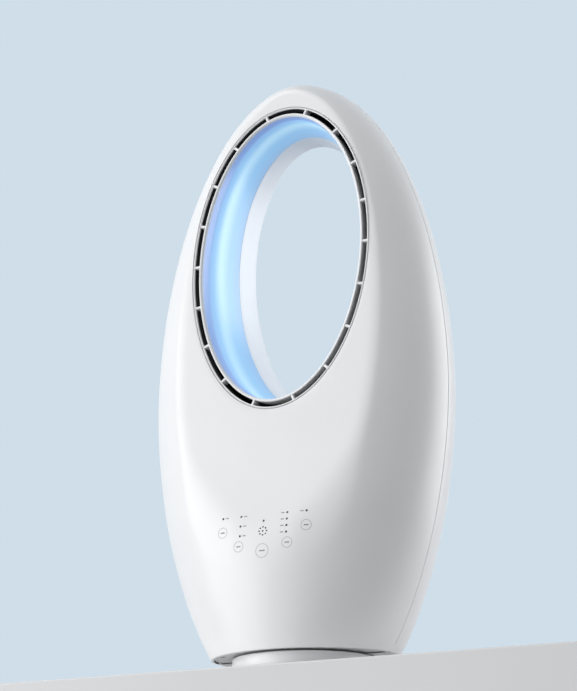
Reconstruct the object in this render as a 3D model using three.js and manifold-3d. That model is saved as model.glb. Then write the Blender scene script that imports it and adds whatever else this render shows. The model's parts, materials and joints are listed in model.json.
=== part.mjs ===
// Bladeless fan: an egg-shaped body that swivels on a low round base. A centrifugal blower in
// its belly fills the hollow ring, and the air leaves by a narrow ribbed slot around the oval
// opening, whose wall carries a band of light.
//
// Millimetres, +Z up, the front faces -Y. The origin is the centre of the base's underside, on
// the swivel axis. The body is a tall egg whose front and back are flattened by two leaning
// planes, here called facets, that mirror each other about the middle plane y = 0. Below the
// opening the front facet flares forward and runs out into the egg.

import * as THREE from 'three';
import { mergeVertices } from 'three/addons/utils/BufferGeometryUtils.js';
import Module from 'manifold-3d';

const wasm = await Module();
wasm.setup();

// ---------------------------------------------------------------- driving dimensions

const degrees = THREE.MathUtils.degToRad;
const FIT = 0.3;                    // gap between pieces that touch on the real fan
const FUSE = 0.6;                   // how far joined shapes of one piece run into each other
const RUNNING_FIT = 0.6;            // radial gap of a bearing, whose faceted faces turn in each other
const PASS = 20;                    // how far a cutting shape runs past the piece that it cuts

// egg form of the body
const WIDEST_Z = 274;
const SKIRT_Z = 15;                 // lower edge of the shells
const DEEPEST_Z = 150;              // level of the egg's greatest depth
const HALF_WIDTH = 157.5;
const HALF_DEPTH = 95;              // of the egg, before the facets flatten it
const LOWER_REACH = 328;            // from the widest level down to where the egg would close
const UPPER_FULLNESS = 1.925;
const LOWER_FULLNESS = 1.815;
const DEPTH_FULLNESS = 1.2;         // along the height, as the two above
const UPPER_DEPTH_POWER = 0.3;      // how fast the depth shrinks away from the deepest level
const LOWER_DEPTH_POWER = 0.2;
const FACET_Y = 93;                 // facet plane to middle plane, at the level of the table
const FACET_TILT = degrees(5.6);
const FLARE_Z = 240;                // where the front facet starts to flare, downwards
const FLARE_RATE = 0.0006;          // forward, per square of the way down from that level
const CREASE_SOFT_LOW = 30;         // rounding of the facet's border, low on the body
const CREASE_SOFT_HIGH = 6;
const CREASE_SOFT_MIDDLE = 0.35;    // share of the rounding that is left on the middle line
const CREASE_LOW_Z = 90;            // between these levels the rounding changes
const CREASE_HIGH_Z = 220;
const WALL = 2.6;
const SEAM_Y = -6;                  // parting plane of the two shells

// oval opening and its wall: offsets count outwards from the ribs' middle line
const CROWN_HEIGHT = 35.2;          // from the top of the opening's oval to the top of the body
const OPENING_HALF_WIDTH = 93.2;
const OPENING_HALF_HEIGHT = 157.3;
const THROAT_TAPER = 15;            // the opening's rear oval lies this much inside the front one
const SLOT_HALF = 2.5;
const SLOT_MIDDLE = -0.8;           // the slot's middle line lies this far inside the ribs' line
const OUTER_LIP = 1.5;
const INNER_LIP = 3.2;
const LIP_DEPTH = 2.9;
const NOZZLE_DEPTH = 12;
const NOZZLE_REVEAL = 0.8;          // shadow gap between the nozzle and the front shell
const NOZZLE_FLANGE = 3.5;
const NOZZLE_FLANGE_THICK = 2;
const NOZZLE_WALL = 1.5;
const NOZZLE_CLEARANCE = 3.5;       // from the nozzle's flange down to the divider
const RIB_COUNT = 18;
const RIB_THICK = 2.7;
const RIB_DEPTH = 10;
const RIB_SET_BACK = 0.4;
const BAND_END = 0.65;              // where the light band ends, from 0 at the front to 1 at the back
const BAND_HOLLOW = 3.5;            // depth of the light band's channel
const DIFFUSER_THICK = 1.3;
const LINER_FLARE = 9;
const LINER_BEND = 0.3;             // where the liner has opened out, on the same scale
const LINER_THICK = 1.8;
const LED_FLEX_THICK = 0.8;
const LED_FLEX_WIDTH = 8;
const LED_PLACE = 0.36;             // middle of the flex, on the same scale as BAND_END
const LED_COUNT = 16;
const LED_SIZE = 3.5;
const LED_HEIGHT = 0.8;
const REAR_RIM_ROUND = 7;
const COLLAR_THICK = 2.2;
const COLLAR_FLANGE = 9;

// base
const PAD_RADIUS = 62;
const PAD_THICK = 1.6;
const BASE_RADIUS = 70;
const BASE_TOP_Z = 14.2;
const BASE_WALL = 2.5;
const BASE_EDGE_ROUND = 1.5;
const BASE_PLATE_THICK = 2.4;
const BALLAST_THICK = 5.5;
const BALLAST_RIM_GAP = 6;
const BALLAST_HOLE_RADIUS = 32;
const CORD_SLOT_WIDTH = 12;
const GLAND_BORE_RADIUS = 2.6;
const GLAND_RADIUS = 3.8;
const GLAND_FLANGE_RADIUS = 5;
const GLAND_FLANGE_THICK = 1.4;

// swivel
const POST_RADIUS = 16;
const POST_BORE_RADIUS = 9;
const POST_NECK_RADIUS = 13;
const POST_FLANGE_RADIUS = 27;
const POST_FLANGE_THICK = 3;
const BUSH_WALL = 3.6;
const BUSH_FLANGE = 3.5;
const BUSH_FLANGE_THICK = 1.8;
const THRUST_INNER_RADIUS = 40;
const THRUST_OUTER_RADIUS = 52;
const THRUST_THICK = 1.7;
const FLOOR_THICK = 3.6;
const GEAR_MODULE = 1.5;
const GEAR_TEETH = 30;
const PINION_TEETH = 10;
const GEAR_WIDTH = 6;
const GEAR_BACKLASH = 0.3;
const NUT_ACROSS_FLATS = 33;
const NUT_THICK = 5;
const SWIVEL_MOTOR_RADIUS = 25;
const SWIVEL_MOTOR_HEIGHT = 20;
const SWIVEL_MOTOR_EAR_REACH = 31;
const SWIVEL_MOTOR_EAR_RADIUS = 5;
const SWIVEL_MOTOR_EAR_THICK = 1.2;
const SWIVEL_MOTOR_LIFT = 3;        // from the nut up to the motor's ears
const PINION_SHAFT_RADIUS = 3.3;

// blower
const IMPELLER_RADIUS = 72;
const IMPELLER_EYE_RADIUS = 38;
const IMPELLER_WIDTH = 33;
const IMPELLER_PLATE_THICK = 2;
const IMPELLER_HUB_RADIUS = 12;
const IMPELLER_HUB_LENGTH = 20;
const BLADE_COUNT = 9;
const BLADE_THICK = 1.8;
const BLADE_SWEEP = degrees(48);
const RUNNING_GAP = 4;              // impeller to scroll
const SCROLL_WALL = 2.5;
const SCROLL_START_RADIUS = 77;
const SCROLL_SIDE_ROOM = 56.5;      // from the scroll's widest radius to the body's widest half width
const SCROLL_TONGUE_ANGLE = degrees(48);
const SCROLL_FRONT_Y = 4;
const BLOWER_RISE = 116;            // from the floor up to the impeller's axis
const SCROLL_FOOT_WIDTH = 14;
const SCROLL_FOOT_SPACING = 64;
const INLET_RADIUS = 46;
const INLET_LIP = 5;
const MOTOR_RADIUS = 38;
const MOTOR_LENGTH = 40;
const MOTOR_FLANGE_RADIUS = 46;
const MOTOR_FLANGE_THICK = 2.5;
const MOTOR_BORE_DEPTH = 14;
const SHAFT_RADIUS = 4;
const SHAFT_NUT_THICK = 5;
const SHAFT_NUT_ACROSS_FLATS = 13;
const DAMPER_COUNT = 3;
const DAMPER_RADIUS = 5;
const DAMPER_LENGTH = 8;
const DIVIDER_THICK = 2.5;
const MOUTH_RISE = 101.85;          // from the impeller's axis up to the scroll's mouth at the divider

// intake grille in the back
const GRILLE_Z = 150;               // along the rear facet
const GRILLE_RADIUS = 56;
const GRILLE_THICK = 2.4;
const GRILLE_RECESS = 2.2;
const GRILLE_RIM = 4;
const GRILLE_SLOT = 4.6;
const GRILLE_BAR = 4.4;
const GRILLE_SPINE = 5;
const GRILLE_SEAT = 3;
const GRILLE_COLLAR_DEPTH = 7;

// touch panel: places count from the middle line and up along a plane in front of the facet's
const PANEL_FORWARD = 6.5;
const MIDDLE_KEY = { x: 0, up: 105.9, radius: 6.5 };
const INNER_KEY = { x: 25.5, up: 111.9, radius: 5 };
const OUTER_KEY = { x: 44, up: 127.4, radius: 5 };
const LAMP_COLUMN_X = 24.3;
const LAMP_TOP_UP = 141.2;
const LEFT_LAMPS = 3;
const LEFT_LAMP_PITCH = 9.6;
const RIGHT_LAMPS = 4;
const RIGHT_LAMP_PITCH = 6.4;
const MIDDLE_LAMP_UP = 134.9;
const LAMP_HOLE_RADIUS = 1.1;
const LIGHT_PIN_RADIUS = 0.8;
const LIGHT_GUIDE_THICK = 2;
const LIGHT_GUIDE_BAR = 7;
const SOUND_UP = 124.9;
const SOUND_HOLES = 8;
const SOUND_CIRCLE_RADIUS = 3.9;
const SOUND_HOLE_RADIUS = 0.8;
const BUZZER_RADIUS = 5.5;
const BUZZER_HEIGHT = 5;
const KEY_SPRING_RADIUS = 3.6;
const BOARD_DEPTH = 15;             // the panel's plane to the control board's face
const BOARD_THICK = 1.6;
const BOARD_MARGIN = 11;
const BOARD_BOSS_RADIUS = 3;

// power board on the floor
const POWER_BOARD_LENGTH = 60;
const POWER_BOARD_WIDTH = 30;
const POWER_BOARD_X = -55;
const POWER_BOARD_Y = -2;
const POWER_BOARD_LIFT = 8;
const TRANSFORMER_SIZE = 18;
const CAPACITOR_RADIUS = 6;
const CAPACITOR_HEIGHT = 16;

// screws
const SCREW_RADIUS = 1.5;
const SCREW_HEAD_RADIUS = 2.9;
const SCREW_HEAD_THICK = 1.4;
const BOSS_RADIUS = 5;
const SHELL_SCREW_LENGTH = 26;
const SHELL_SCREW_HEAD_Y = 14;
const LOW_SHELL_SCREW_Z = 50;
const LOW_SHELL_SCREW_MARGIN = 28.8;    // from the inside of the body's side
const HIGH_SHELL_SCREW_DROP = 16;       // from the divider down
const HIGH_SHELL_SCREW_CLEARANCE = 2.5; // from the scroll's side to the screw's boss
const FLOOR_SCREW_MARGIN = 23;          // from the floor's side, on the middle line
const FLOOR_SCREW_Y = 40;
const FLOOR_SCREW_LENGTH = 14;
const FLOOR_BOSS_HEIGHT = 20;
const POST_SCREW_COUNT = 3;
const POST_SCREW_CIRCLE = 22;
const POST_SCREW_LENGTH = 4.6;

// fineness of curved faces
const SEEN_SKIN = { steps: 40, above: 9, below: 4 };
const HIDDEN_SKIN = { steps: 20, above: 6, below: 3 };
const OVAL_STEPS = 32;
const ROUND_STEPS = 16;
const BIG_ROUND_STEPS = 32;
const SMALL_ROUND_STEPS = 8;
const TINY_ROUND_STEPS = 6;

// ---------------------------------------------------------------- levels that follow

const PLATE_Z = PAD_THICK + FIT;
const ON_PLATE_Z = PLATE_Z + BASE_PLATE_THICK + FIT;
const THRUST_Z = BASE_TOP_Z + FIT;
const FLOOR_Z = THRUST_Z + THRUST_THICK + FIT;
const FLOOR_TOP_Z = FLOOR_Z + FLOOR_THICK;
const BUSH_TOP_Z = FLOOR_TOP_Z + FIT + BUSH_FLANGE_THICK;
const BUSH_INNER = POST_RADIUS + RUNNING_FIT;
const GEAR_Z = BUSH_TOP_Z + 2 * FIT;
const NUT_Z = GEAR_Z + GEAR_WIDTH + FIT;
const POST_TOP_Z = NUT_Z + NUT_THICK + 1;
const SWIVEL_MOTOR_Z = POST_TOP_Z + SWIVEL_MOTOR_LIFT;
const GEAR_CENTRES = GEAR_MODULE * (GEAR_TEETH + PINION_TEETH) / 2;
const GLAND_Z = (ON_PLATE_Z + BASE_TOP_Z - BASE_WALL) / 2;

const BLOWER_Z = FLOOR_TOP_Z + BLOWER_RISE;
const SCROLL_END_RADIUS = HALF_WIDTH - SCROLL_SIDE_ROOM;
const IMPELLER_Y = SCROLL_FRONT_Y + SCROLL_WALL + RUNNING_GAP;
const SCROLL_REAR_Y = IMPELLER_Y + IMPELLER_WIDTH + RUNNING_GAP + SCROLL_WALL;
const SCROLL_SPLIT_Y = (SCROLL_FRONT_Y + SCROLL_REAR_Y) / 2;
const MOTOR_FACE_Y = SCROLL_FRONT_Y - FIT - DAMPER_LENGTH - FIT;
const SLOT_OUTER = SLOT_MIDDLE + SLOT_HALF;
const SLOT_INNER = SLOT_MIDDLE - SLOT_HALF;
const LIP_OUTER = SLOT_OUTER + OUTER_LIP;
const LIP_INNER = SLOT_INNER - INNER_LIP;
const REAR_HOLE_OFFSET = 0.9 * REAR_RIM_ROUND;
const DIVIDER_Z = BLOWER_Z + MOUTH_RISE;
const OPENING_LOW_Z = DIVIDER_Z + DIVIDER_THICK + FIT + NOZZLE_CLEARANCE + NOZZLE_FLANGE + LIP_OUTER;
const OPENING_Z = OPENING_LOW_Z + OPENING_HALF_HEIGHT * Math.cos(FACET_TILT);
const TOP_Z = OPENING_Z + OPENING_HALF_HEIGHT + CROWN_HEIGHT;

// ---------------------------------------------------------------- finishes

const finishes = {
  whiteShell: { color: 0xededec, roughness: 0.32, metalness: 0 },
  whiteSatin: { color: 0xe4e5e6, roughness: 0.5, metalness: 0 },
  lightBand: { color: 0xa8daf8, roughness: 0.35, metalness: 0 },
  greyPlastic: { color: 0x9ea3a8, roughness: 0.6, metalness: 0 },
  darkPlastic: { color: 0x35383c, roughness: 0.6, metalness: 0 },
  rubber: { color: 0x2b2c2e, roughness: 0.9, metalness: 0 },
  acetal: { color: 0xf1efe6, roughness: 0.5, metalness: 0 },
  steel: { color: 0xb9bdc2, roughness: 0.35, metalness: 1 },
  board: { color: 0x2c6b45, roughness: 0.6, metalness: 0 },
};

// ---------------------------------------------------------------- solids

function solidOf(geometry) {
  const bare = geometry.clone();
  bare.deleteAttribute('normal');
  bare.deleteAttribute('uv');
  const merged = mergeVertices(bare, 1e-4);
  const mesh = new wasm.Mesh({
    numProp: 3,
    vertProperties: Float32Array.from(merged.attributes.position.array),
    triVerts: Uint32Array.from(merged.index.array),
  });
  return new wasm.Manifold(mesh);
}

function geometryOf(solid) {
  const mesh = solid.getMesh();
  const geometry = new THREE.BufferGeometry();
  geometry.setAttribute('position', new THREE.BufferAttribute(mesh.vertProperties, 3));
  geometry.setIndex(new THREE.BufferAttribute(mesh.triVerts, 1));
  return geometry;
}

function joined(first, ...others) {
  return others.reduce((sum, solid) => sum.add(solid), first);
}

function cut(solid, ...tools) {
  return tools.reduce((rest, tool) => rest.subtract(tool), solid);
}

// A closed surface from points and triangles, turned so that its faces point out.
function closedSurface(points, triangles) {
  const volume = triangles.reduce((sum, [i, j, k]) => {
    const normal = new THREE.Vector3().crossVectors(points[j], points[k]);
    return sum + points[i].dot(normal);
  }, 0);
  const facing = volume < 0 ? triangles.map(([i, j, k]) => [i, k, j]) : triangles;
  const geometry = new THREE.BufferGeometry();
  geometry.setFromPoints(points);
  geometry.setIndex(facing.flat());
  return solidOf(geometry);
}

// Rings of points joined in order; the stack closes on itself, or ends in a fan at each end.
function loft(rings, closes) {
  const points = rings.flat();
  const size = rings[0].length;
  const triangles = [];
  const spans = closes ? rings.length : rings.length - 1;
  for (let ring = 0; ring < spans; ring += 1) {
    const next = (ring + 1) % rings.length;
    for (let step = 0; step < size; step += 1) {
      const after = (step + 1) % size;
      const corners = [ring * size + step, ring * size + after, next * size + after, next * size + step];
      triangles.push([corners[0], corners[1], corners[2]], [corners[0], corners[2], corners[3]]);
    }
  }
  if (!closes) {
    addFan(points, triangles, 0, size, true);
    addFan(points, triangles, (rings.length - 1) * size, size, false);
  }
  return closedSurface(points, triangles);
}

function addFan(points, triangles, start, size, flip) {
  const centre = new THREE.Vector3();
  for (let step = 0; step < size; step += 1) centre.addScaledVector(points[start + step], 1 / size);
  const hub = points.push(centre) - 1;
  for (let step = 0; step < size; step += 1) {
    const here = start + step;
    const after = start + (step + 1) % size;
    triangles.push(flip ? [hub, after, here] : [hub, here, after]);
  }
}

function box(low, high) {
  const size = high.map((value, axis) => value - low[axis]);
  const geometry = new THREE.BoxGeometry(...size);
  geometry.translate(...high.map((value, axis) => (value + low[axis]) / 2));
  return solidOf(geometry);
}

// Cylinders along Z and along Y.
function pillar(radius, z0, z1, x = 0, y = 0, steps = ROUND_STEPS) {
  const geometry = new THREE.CylinderGeometry(radius, radius, z1 - z0, steps);
  geometry.rotateX(Math.PI / 2);
  geometry.translate(x, y, (z0 + z1) / 2);
  return solidOf(geometry);
}

function rod(radius, y0, y1, x = 0, z = 0, steps = ROUND_STEPS) {
  const geometry = new THREE.CylinderGeometry(radius, radius, y1 - y0, steps);
  geometry.translate(x, (y0 + y1) / 2, z);
  return solidOf(geometry);
}

// A turned piece about Z from [radius, z] points that go round its section.
function turned(profile, steps = BIG_ROUND_STEPS) {
  const rings = [];
  for (let step = 0; step < steps; step += 1) {
    const angle = (step / steps) * 2 * Math.PI;
    rings.push(profile.map(([radius, z]) => (
      new THREE.Vector3(radius * Math.cos(angle), radius * Math.sin(angle), z))));
  }
  return loft(rings, true);
}

function prism(outline, z0, z1) {
  const shape = new THREE.Shape(outline.map(([x, y]) => new THREE.Vector2(x, y)));
  const geometry = new THREE.ExtrudeGeometry(shape, { depth: z1 - z0, bevelEnabled: false });
  geometry.translate(0, 0, z0);
  return solidOf(geometry);
}

// An outline in X and Z, pushed along Y from y0 to y1.
function slab(outline, y0, y1) {
  return prism(outline, -y1, -y0).rotate([90, 0, 0]);
}

function hexagon(acrossFlats) {
  const reach = acrossFlats / Math.sqrt(3);
  return [0, 1, 2, 3, 4, 5].map((corner) => [
    reach * Math.cos(degrees(60 * corner)),
    reach * Math.sin(degrees(60 * corner))]);
}

const group = new THREE.Group();

function addPiece(name, solid, finish) {
  const mesh = new THREE.Mesh(geometryOf(solid), new THREE.MeshStandardMaterial(finish));
  mesh.name = name;
  group.add(mesh);
}

// ---------------------------------------------------------------- form of the body

// Half the egg's width at a level; an inset gives the form that lies that much inside.
function halfWidthAt(z, inset) {
  const above = z > WIDEST_Z;
  const reach = (above ? TOP_Z - WIDEST_Z : LOWER_REACH) - inset;
  const share = Math.min(Math.abs(z - WIDEST_Z) / reach, 1);
  const fullness = above ? UPPER_FULLNESS : LOWER_FULLNESS;
  return (HALF_WIDTH - inset) * Math.sqrt(1 - share ** fullness);
}

function halfDepthAt(z, inset) {
  const above = z > DEEPEST_Z;
  const reach = (above ? TOP_Z - DEEPEST_Z : LOWER_REACH - WIDEST_Z + DEEPEST_Z) - inset;
  const share = Math.min(Math.abs(z - DEEPEST_Z) / reach, 1);
  const power = above ? UPPER_DEPTH_POWER : LOWER_DEPTH_POWER;
  return (HALF_DEPTH - inset) * (1 - share ** DEPTH_FULLNESS) ** power;
}

function facetDistance(z, inset = 0) {
  return FACET_Y - z * Math.tan(FACET_TILT) - inset / Math.cos(FACET_TILT);
}

function frontFlare(z) {
  return FLARE_RATE * Math.max(FLARE_Z - z, 0) ** 2;
}

function creaseSoftness(z, side) {
  const share = THREE.MathUtils.smoothstep(z, CREASE_LOW_Z, CREASE_HIGH_Z);
  const softness = THREE.MathUtils.lerp(CREASE_SOFT_LOW, CREASE_SOFT_HIGH, share);
  return softness * Math.max(Math.abs(side), CREASE_SOFT_MIDDLE);
}

// The smaller of two radii, rounded where they cross.
function softMinimum(first, second, softness) {
  const share = THREE.MathUtils.clamp(0.5 + 0.5 * (second - first) / softness, 0, 1);
  return second + (first - second) * share - softness * share * (1 - share);
}

// A point of the body's surface; the angle counts from the front towards +X.
function bodyPoint(angle, z, inset) {
  const width = halfWidthAt(z, inset);
  const depth = halfDepthAt(z, inset);
  const side = Math.sin(angle);
  const front = Math.cos(angle);
  const egg = width * depth / Math.max(Math.hypot(depth * side, width * front), 1e-9);
  const plane = facetDistance(z, inset) + (front > 0 ? frontFlare(z) : 0);
  const facet = plane / Math.max(Math.abs(front), 1e-9);
  const radius = softMinimum(egg, facet, creaseSoftness(z, side));
  return new THREE.Vector3(radius * side, -radius * front, z);
}

function bodyRing(z, inset, steps) {
  const ring = [];
  for (let step = 0; step < steps; step += 1) {
    ring.push(bodyPoint((step / steps) * 2 * Math.PI, z, inset));
  }
  return ring;
}

// The body as a solid from a level up to its top.
function bodySolid(inset, lowZ, skin) {
  const lowReach = LOWER_REACH - inset;
  const highReach = TOP_Z - WIDEST_Z - inset;
  const lowAngle = Math.asin((WIDEST_Z - lowZ) / lowReach);
  const levels = [];
  for (let row = 0; row < skin.below; row += 1) {
    levels.push(WIDEST_Z - lowReach * Math.sin(lowAngle * (1 - row / skin.below)));
  }
  for (let row = 0; row < skin.above; row += 1) {
    levels.push(WIDEST_Z + highReach * Math.sin((Math.PI / 2) * (row / skin.above)));
  }
  const crown = bodyRing(levels.at(-1), inset, skin.steps).map(() => (
    new THREE.Vector3(0, 0, TOP_Z - inset)));
  return loft([...levels.map((z) => bodyRing(z, inset, skin.steps)), crown], false);
}

const outerBody = bodySolid(0, SKIRT_Z, SEEN_SKIN);
const wallCore = bodySolid(WALL / 2, SKIRT_Z, HIDDEN_SKIN);     // middle of the wall
const innerBody = bodySolid(WALL, SKIRT_Z - PASS, HIDDEN_SKIN);
const fittedBody = bodySolid(WALL + FIT, SKIRT_Z - PASS, HIDDEN_SKIN);

// Blocks wider than the body, between two planes across Y and between two levels.
function slice(y0, y1) {
  return box([-HALF_WIDTH - PASS, y0, -PASS], [HALF_WIDTH + PASS, y1, TOP_Z + PASS]);
}

function layer(z0, z1) {
  return box([-HALF_WIDTH - PASS, -HALF_DEPTH - PASS, z0], [HALF_WIDTH + PASS, HALF_DEPTH + PASS, z1]);
}

// ---------------------------------------------------------------- form of the opening

// A point of the opening's wall. The share runs from 0 on the front facet to 1 on the rear one,
// the push moves it back by millimetres, and the offset moves it outwards.
function ovalPoint(angle, share, push, offset) {
  const high = OPENING_HALF_HEIGHT * Math.cos(FACET_TILT);
  const reach = offset - THROAT_TAPER * share;
  const normal = new THREE.Vector2(high * Math.sin(angle), OPENING_HALF_WIDTH * Math.cos(angle));
  normal.normalize();
  const x = OPENING_HALF_WIDTH * Math.sin(angle) + normal.x * reach;
  const z = OPENING_Z + high * Math.cos(angle) + normal.y * reach;
  const y = THREE.MathUtils.lerp(-facetDistance(z), facetDistance(z), share) + push;
  return new THREE.Vector3(x, y, z);
}

// A section of [share, push, offset] points carried round the oval.
function ovalRing(section) {
  const rings = [];
  for (let step = 0; step < OVAL_STEPS; step += 1) {
    const angle = (step / OVAL_STEPS) * 2 * Math.PI;
    rings.push(section.map(([share, push, offset]) => ovalPoint(angle, share, push, offset)));
  }
  return loft(rings, true);
}

// Angles that divide the oval into stretches of one length, half a stretch off the top.
function evenOvalAngles(count) {
  const fine = 720;
  const lengths = [0];
  let before = ovalPoint(0, 0, 0, 0);
  for (let step = 1; step <= fine; step += 1) {
    const here = ovalPoint((step / fine) * 2 * Math.PI, 0, 0, 0);
    lengths.push(lengths[step - 1] + here.distanceTo(before));
    before = here;
  }
  const pitch = lengths[fine] / count;
  const angles = [];
  for (let index = 0; index < count; index += 1) {
    const step = lengths.findIndex((length) => length >= pitch * (index + 0.5));
    angles.push((step / fine) * 2 * Math.PI);
  }
  return angles;
}

// A block that stands across the oval at one angle.
function ovalBlock(angle, share, width, pushes, offsets) {
  const middle = ovalPoint(angle, share, 0, 0);
  const along = ovalPoint(angle + 0.001, share, 0, 0).sub(middle).normalize();
  const rings = [-width / 2, width / 2].map((side) => [
    [pushes[0], offsets[0]], [pushes[1], offsets[0]], [pushes[1], offsets[1]], [pushes[0], offsets[1]],
  ].map(([push, offset]) => ovalPoint(angle, share, push, offset).addScaledVector(along, side)));
  return loft(rings, false);
}

// The line of the visible wall: from the inner lip to the rear oval.
function wallOffset(share) {
  return LIP_INNER * (1 - share);
}

// ---------------------------------------------------------------- opening: nozzle and light

function nozzleRing() {
  const flangeStart = WALL + FIT;
  const outer = ovalRing([
    [0, 0, SLOT_OUTER],
    [0, 0, LIP_OUTER - 0.6],
    [0, 0.6, LIP_OUTER],
    [0, flangeStart, LIP_OUTER],
    [0, flangeStart, LIP_OUTER + NOZZLE_FLANGE],
    [0, flangeStart + NOZZLE_FLANGE_THICK, LIP_OUTER + NOZZLE_FLANGE],
    [0, flangeStart + NOZZLE_FLANGE_THICK, SLOT_OUTER + NOZZLE_WALL],
    [0, NOZZLE_DEPTH, SLOT_OUTER + NOZZLE_WALL],
    [0, NOZZLE_DEPTH, SLOT_OUTER],
  ]);
  const inner = ovalRing([
    [0, 0, SLOT_INNER],
    [0, NOZZLE_DEPTH, SLOT_INNER],
    [0, NOZZLE_DEPTH, SLOT_INNER - NOZZLE_WALL],
    [0, LIP_DEPTH, SLOT_INNER - NOZZLE_WALL],
    [0, LIP_DEPTH, LIP_INNER],
    [0, 1.2, LIP_INNER],
    [0, 0, LIP_INNER + 1.2],
  ]);
  const ribs = evenOvalAngles(RIB_COUNT).map((angle) => ovalBlock(
    angle, 0, RIB_THICK, [RIB_SET_BACK, RIB_DEPTH], [SLOT_INNER - FUSE, SLOT_OUTER + FUSE]));
  return joined(outer, inner, ...ribs);
}

// The lit wall: flat behind the nozzle's inner lip, then a shallow channel up to the collar.
function lightDiffuser() {
  const steps = 4;
  const start = NOZZLE_DEPTH / (2 * facetDistance(OPENING_Z));
  const visible = [[0, LIP_DEPTH + FIT, LIP_INNER]];
  for (let step = 0; step <= steps; step += 1) {
    const share = THREE.MathUtils.lerp(start, BAND_END, step / steps);
    const hollow = BAND_HOLLOW * Math.sin(Math.PI * step / steps);
    visible.push([share, step === steps ? -FIT / 2 : 0, wallOffset(share) + hollow]);
  }
  const hidden = visible.map(([share, push, offset]) => [share, push, offset + DIFFUSER_THICK]);
  return ovalRing([...visible, ...hidden.reverse()]);
}

function linerOffset(share) {
  return wallOffset(share) + LINER_FLARE;
}

// The duct's wall behind the lit wall, from the slot's inner side back to the collar.
function throatLiner() {
  const inside = [
    [0, NOZZLE_DEPTH + FIT, SLOT_INNER - FIT],
    [LINER_BEND, 0, linerOffset(LINER_BEND)],
    [BAND_END, -FIT / 2, linerOffset(BAND_END)],
  ];
  const outside = inside.map(([share, push, offset]) => [share, push, offset + LINER_THICK]);
  return ovalRing([...inside, ...outside.reverse()]);
}

function ledStrip() {
  const back = linerOffset(LED_PLACE) - 2.5 * FIT;
  const face = back - LED_FLEX_THICK;
  const half = LED_FLEX_WIDTH / 2;
  const flex = ovalRing([
    [LED_PLACE, -half, face], [LED_PLACE, half, face], [LED_PLACE, half, back], [LED_PLACE, -half, back],
  ]);
  const lamps = evenOvalAngles(LED_COUNT).map((angle) => ovalBlock(
    angle, LED_PLACE, LED_SIZE, [-LED_SIZE / 2, LED_SIZE / 2], [face - LED_HEIGHT, face + FIT]));
  return joined(flex, ...lamps);
}

// ---------------------------------------------------------------- shells

function straightOval(offset, share, y0, y1) {
  const outline = [];
  for (let step = 0; step < OVAL_STEPS; step += 1) {
    const point = ovalPoint((step / OVAL_STEPS) * 2 * Math.PI, share, 0, offset);
    outline.push([point.x, point.z]);
  }
  return slab(outline, y0, y1);
}

// Places on a facet: a frame whose Z runs up along it and whose -Y looks out of it.
function onFrontFacet(solid) {
  return solid.rotate([-THREE.MathUtils.radToDeg(FACET_TILT), 0, 0]).translate([0, -FACET_Y, 0]);
}

function onRearFacet(solid) {
  return onFrontFacet(solid).mirror([0, 1, 0]);
}

function onPanel(solid) {
  return onFrontFacet(solid).translate([0, -PANEL_FORWARD, 0]);
}

const lampSpots = [
  { x: -OUTER_KEY.x, up: LAMP_TOP_UP },
  { x: OUTER_KEY.x, up: LAMP_TOP_UP },
  { x: 0, up: MIDDLE_LAMP_UP },
];
for (let row = 0; row < LEFT_LAMPS; row += 1) {
  lampSpots.push({ x: -LAMP_COLUMN_X, up: LAMP_TOP_UP - row * LEFT_LAMP_PITCH });
}
for (let row = 0; row < RIGHT_LAMPS; row += 1) {
  lampSpots.push({ x: LAMP_COLUMN_X, up: LAMP_TOP_UP - row * RIGHT_LAMP_PITCH });
}
const lowestLampUp = Math.min(...lampSpots.map((spot) => spot.up));

const keySpots = [
  { ...OUTER_KEY, x: -OUTER_KEY.x },
  { ...INNER_KEY, x: -INNER_KEY.x },
  MIDDLE_KEY,
  INNER_KEY,
  OUTER_KEY,
];

const boardHalfWidth = OUTER_KEY.x + BOARD_MARGIN;
const boardLowUp = MIDDLE_KEY.up - BOARD_MARGIN;
const boardHighUp = LAMP_TOP_UP + BOARD_MARGIN;

function panelHoles() {
  const holes = lampSpots.map((spot) => (
    rod(LAMP_HOLE_RADIUS, -PASS, BOARD_DEPTH, spot.x, spot.up, TINY_ROUND_STEPS)));
  holes.push(rod(SOUND_HOLE_RADIUS, -PASS, BOARD_DEPTH, 0, SOUND_UP, TINY_ROUND_STEPS));
  for (let index = 0; index < SOUND_HOLES; index += 1) {
    const angle = (index / SOUND_HOLES) * 2 * Math.PI;
    const x = SOUND_CIRCLE_RADIUS * Math.sin(angle);
    const up = SOUND_UP + SOUND_CIRCLE_RADIUS * Math.cos(angle);
    holes.push(rod(SOUND_HOLE_RADIUS, -PASS, BOARD_DEPTH, x, up, TINY_ROUND_STEPS));
  }
  return holes.map(onPanel);
}

function boardBosses() {
  const inset = BOARD_BOSS_RADIUS + 1;
  const bosses = [-1, 1].flatMap((side) => [boardLowUp + inset, boardHighUp - inset].map((up) => (
    rod(BOARD_BOSS_RADIUS, 0, BOARD_DEPTH - FIT, side * (boardHalfWidth - inset), up, SMALL_ROUND_STEPS))));
  return bosses.map((boss) => onPanel(boss).intersect(wallCore));
}

const shellScrewPlaces = [
  { x: halfWidthAt(LOW_SHELL_SCREW_Z, WALL) - LOW_SHELL_SCREW_MARGIN, z: LOW_SHELL_SCREW_Z },
  {
    x: SCROLL_END_RADIUS + SCROLL_WALL + HIGH_SHELL_SCREW_CLEARANCE + BOSS_RADIUS,
    z: DIVIDER_Z - HIGH_SHELL_SCREW_DROP,
  },
];
const shellScrews = [-1, 1].flatMap((side) => shellScrewPlaces.map(({ x, z }) => ({ x: side * x, z })));

function shellBosses(y0, y1) {
  return shellScrews.map(({ x, z }) => (
    rod(BOSS_RADIUS, y0, y1, x, z, SMALL_ROUND_STEPS).intersect(wallCore)));
}

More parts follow.
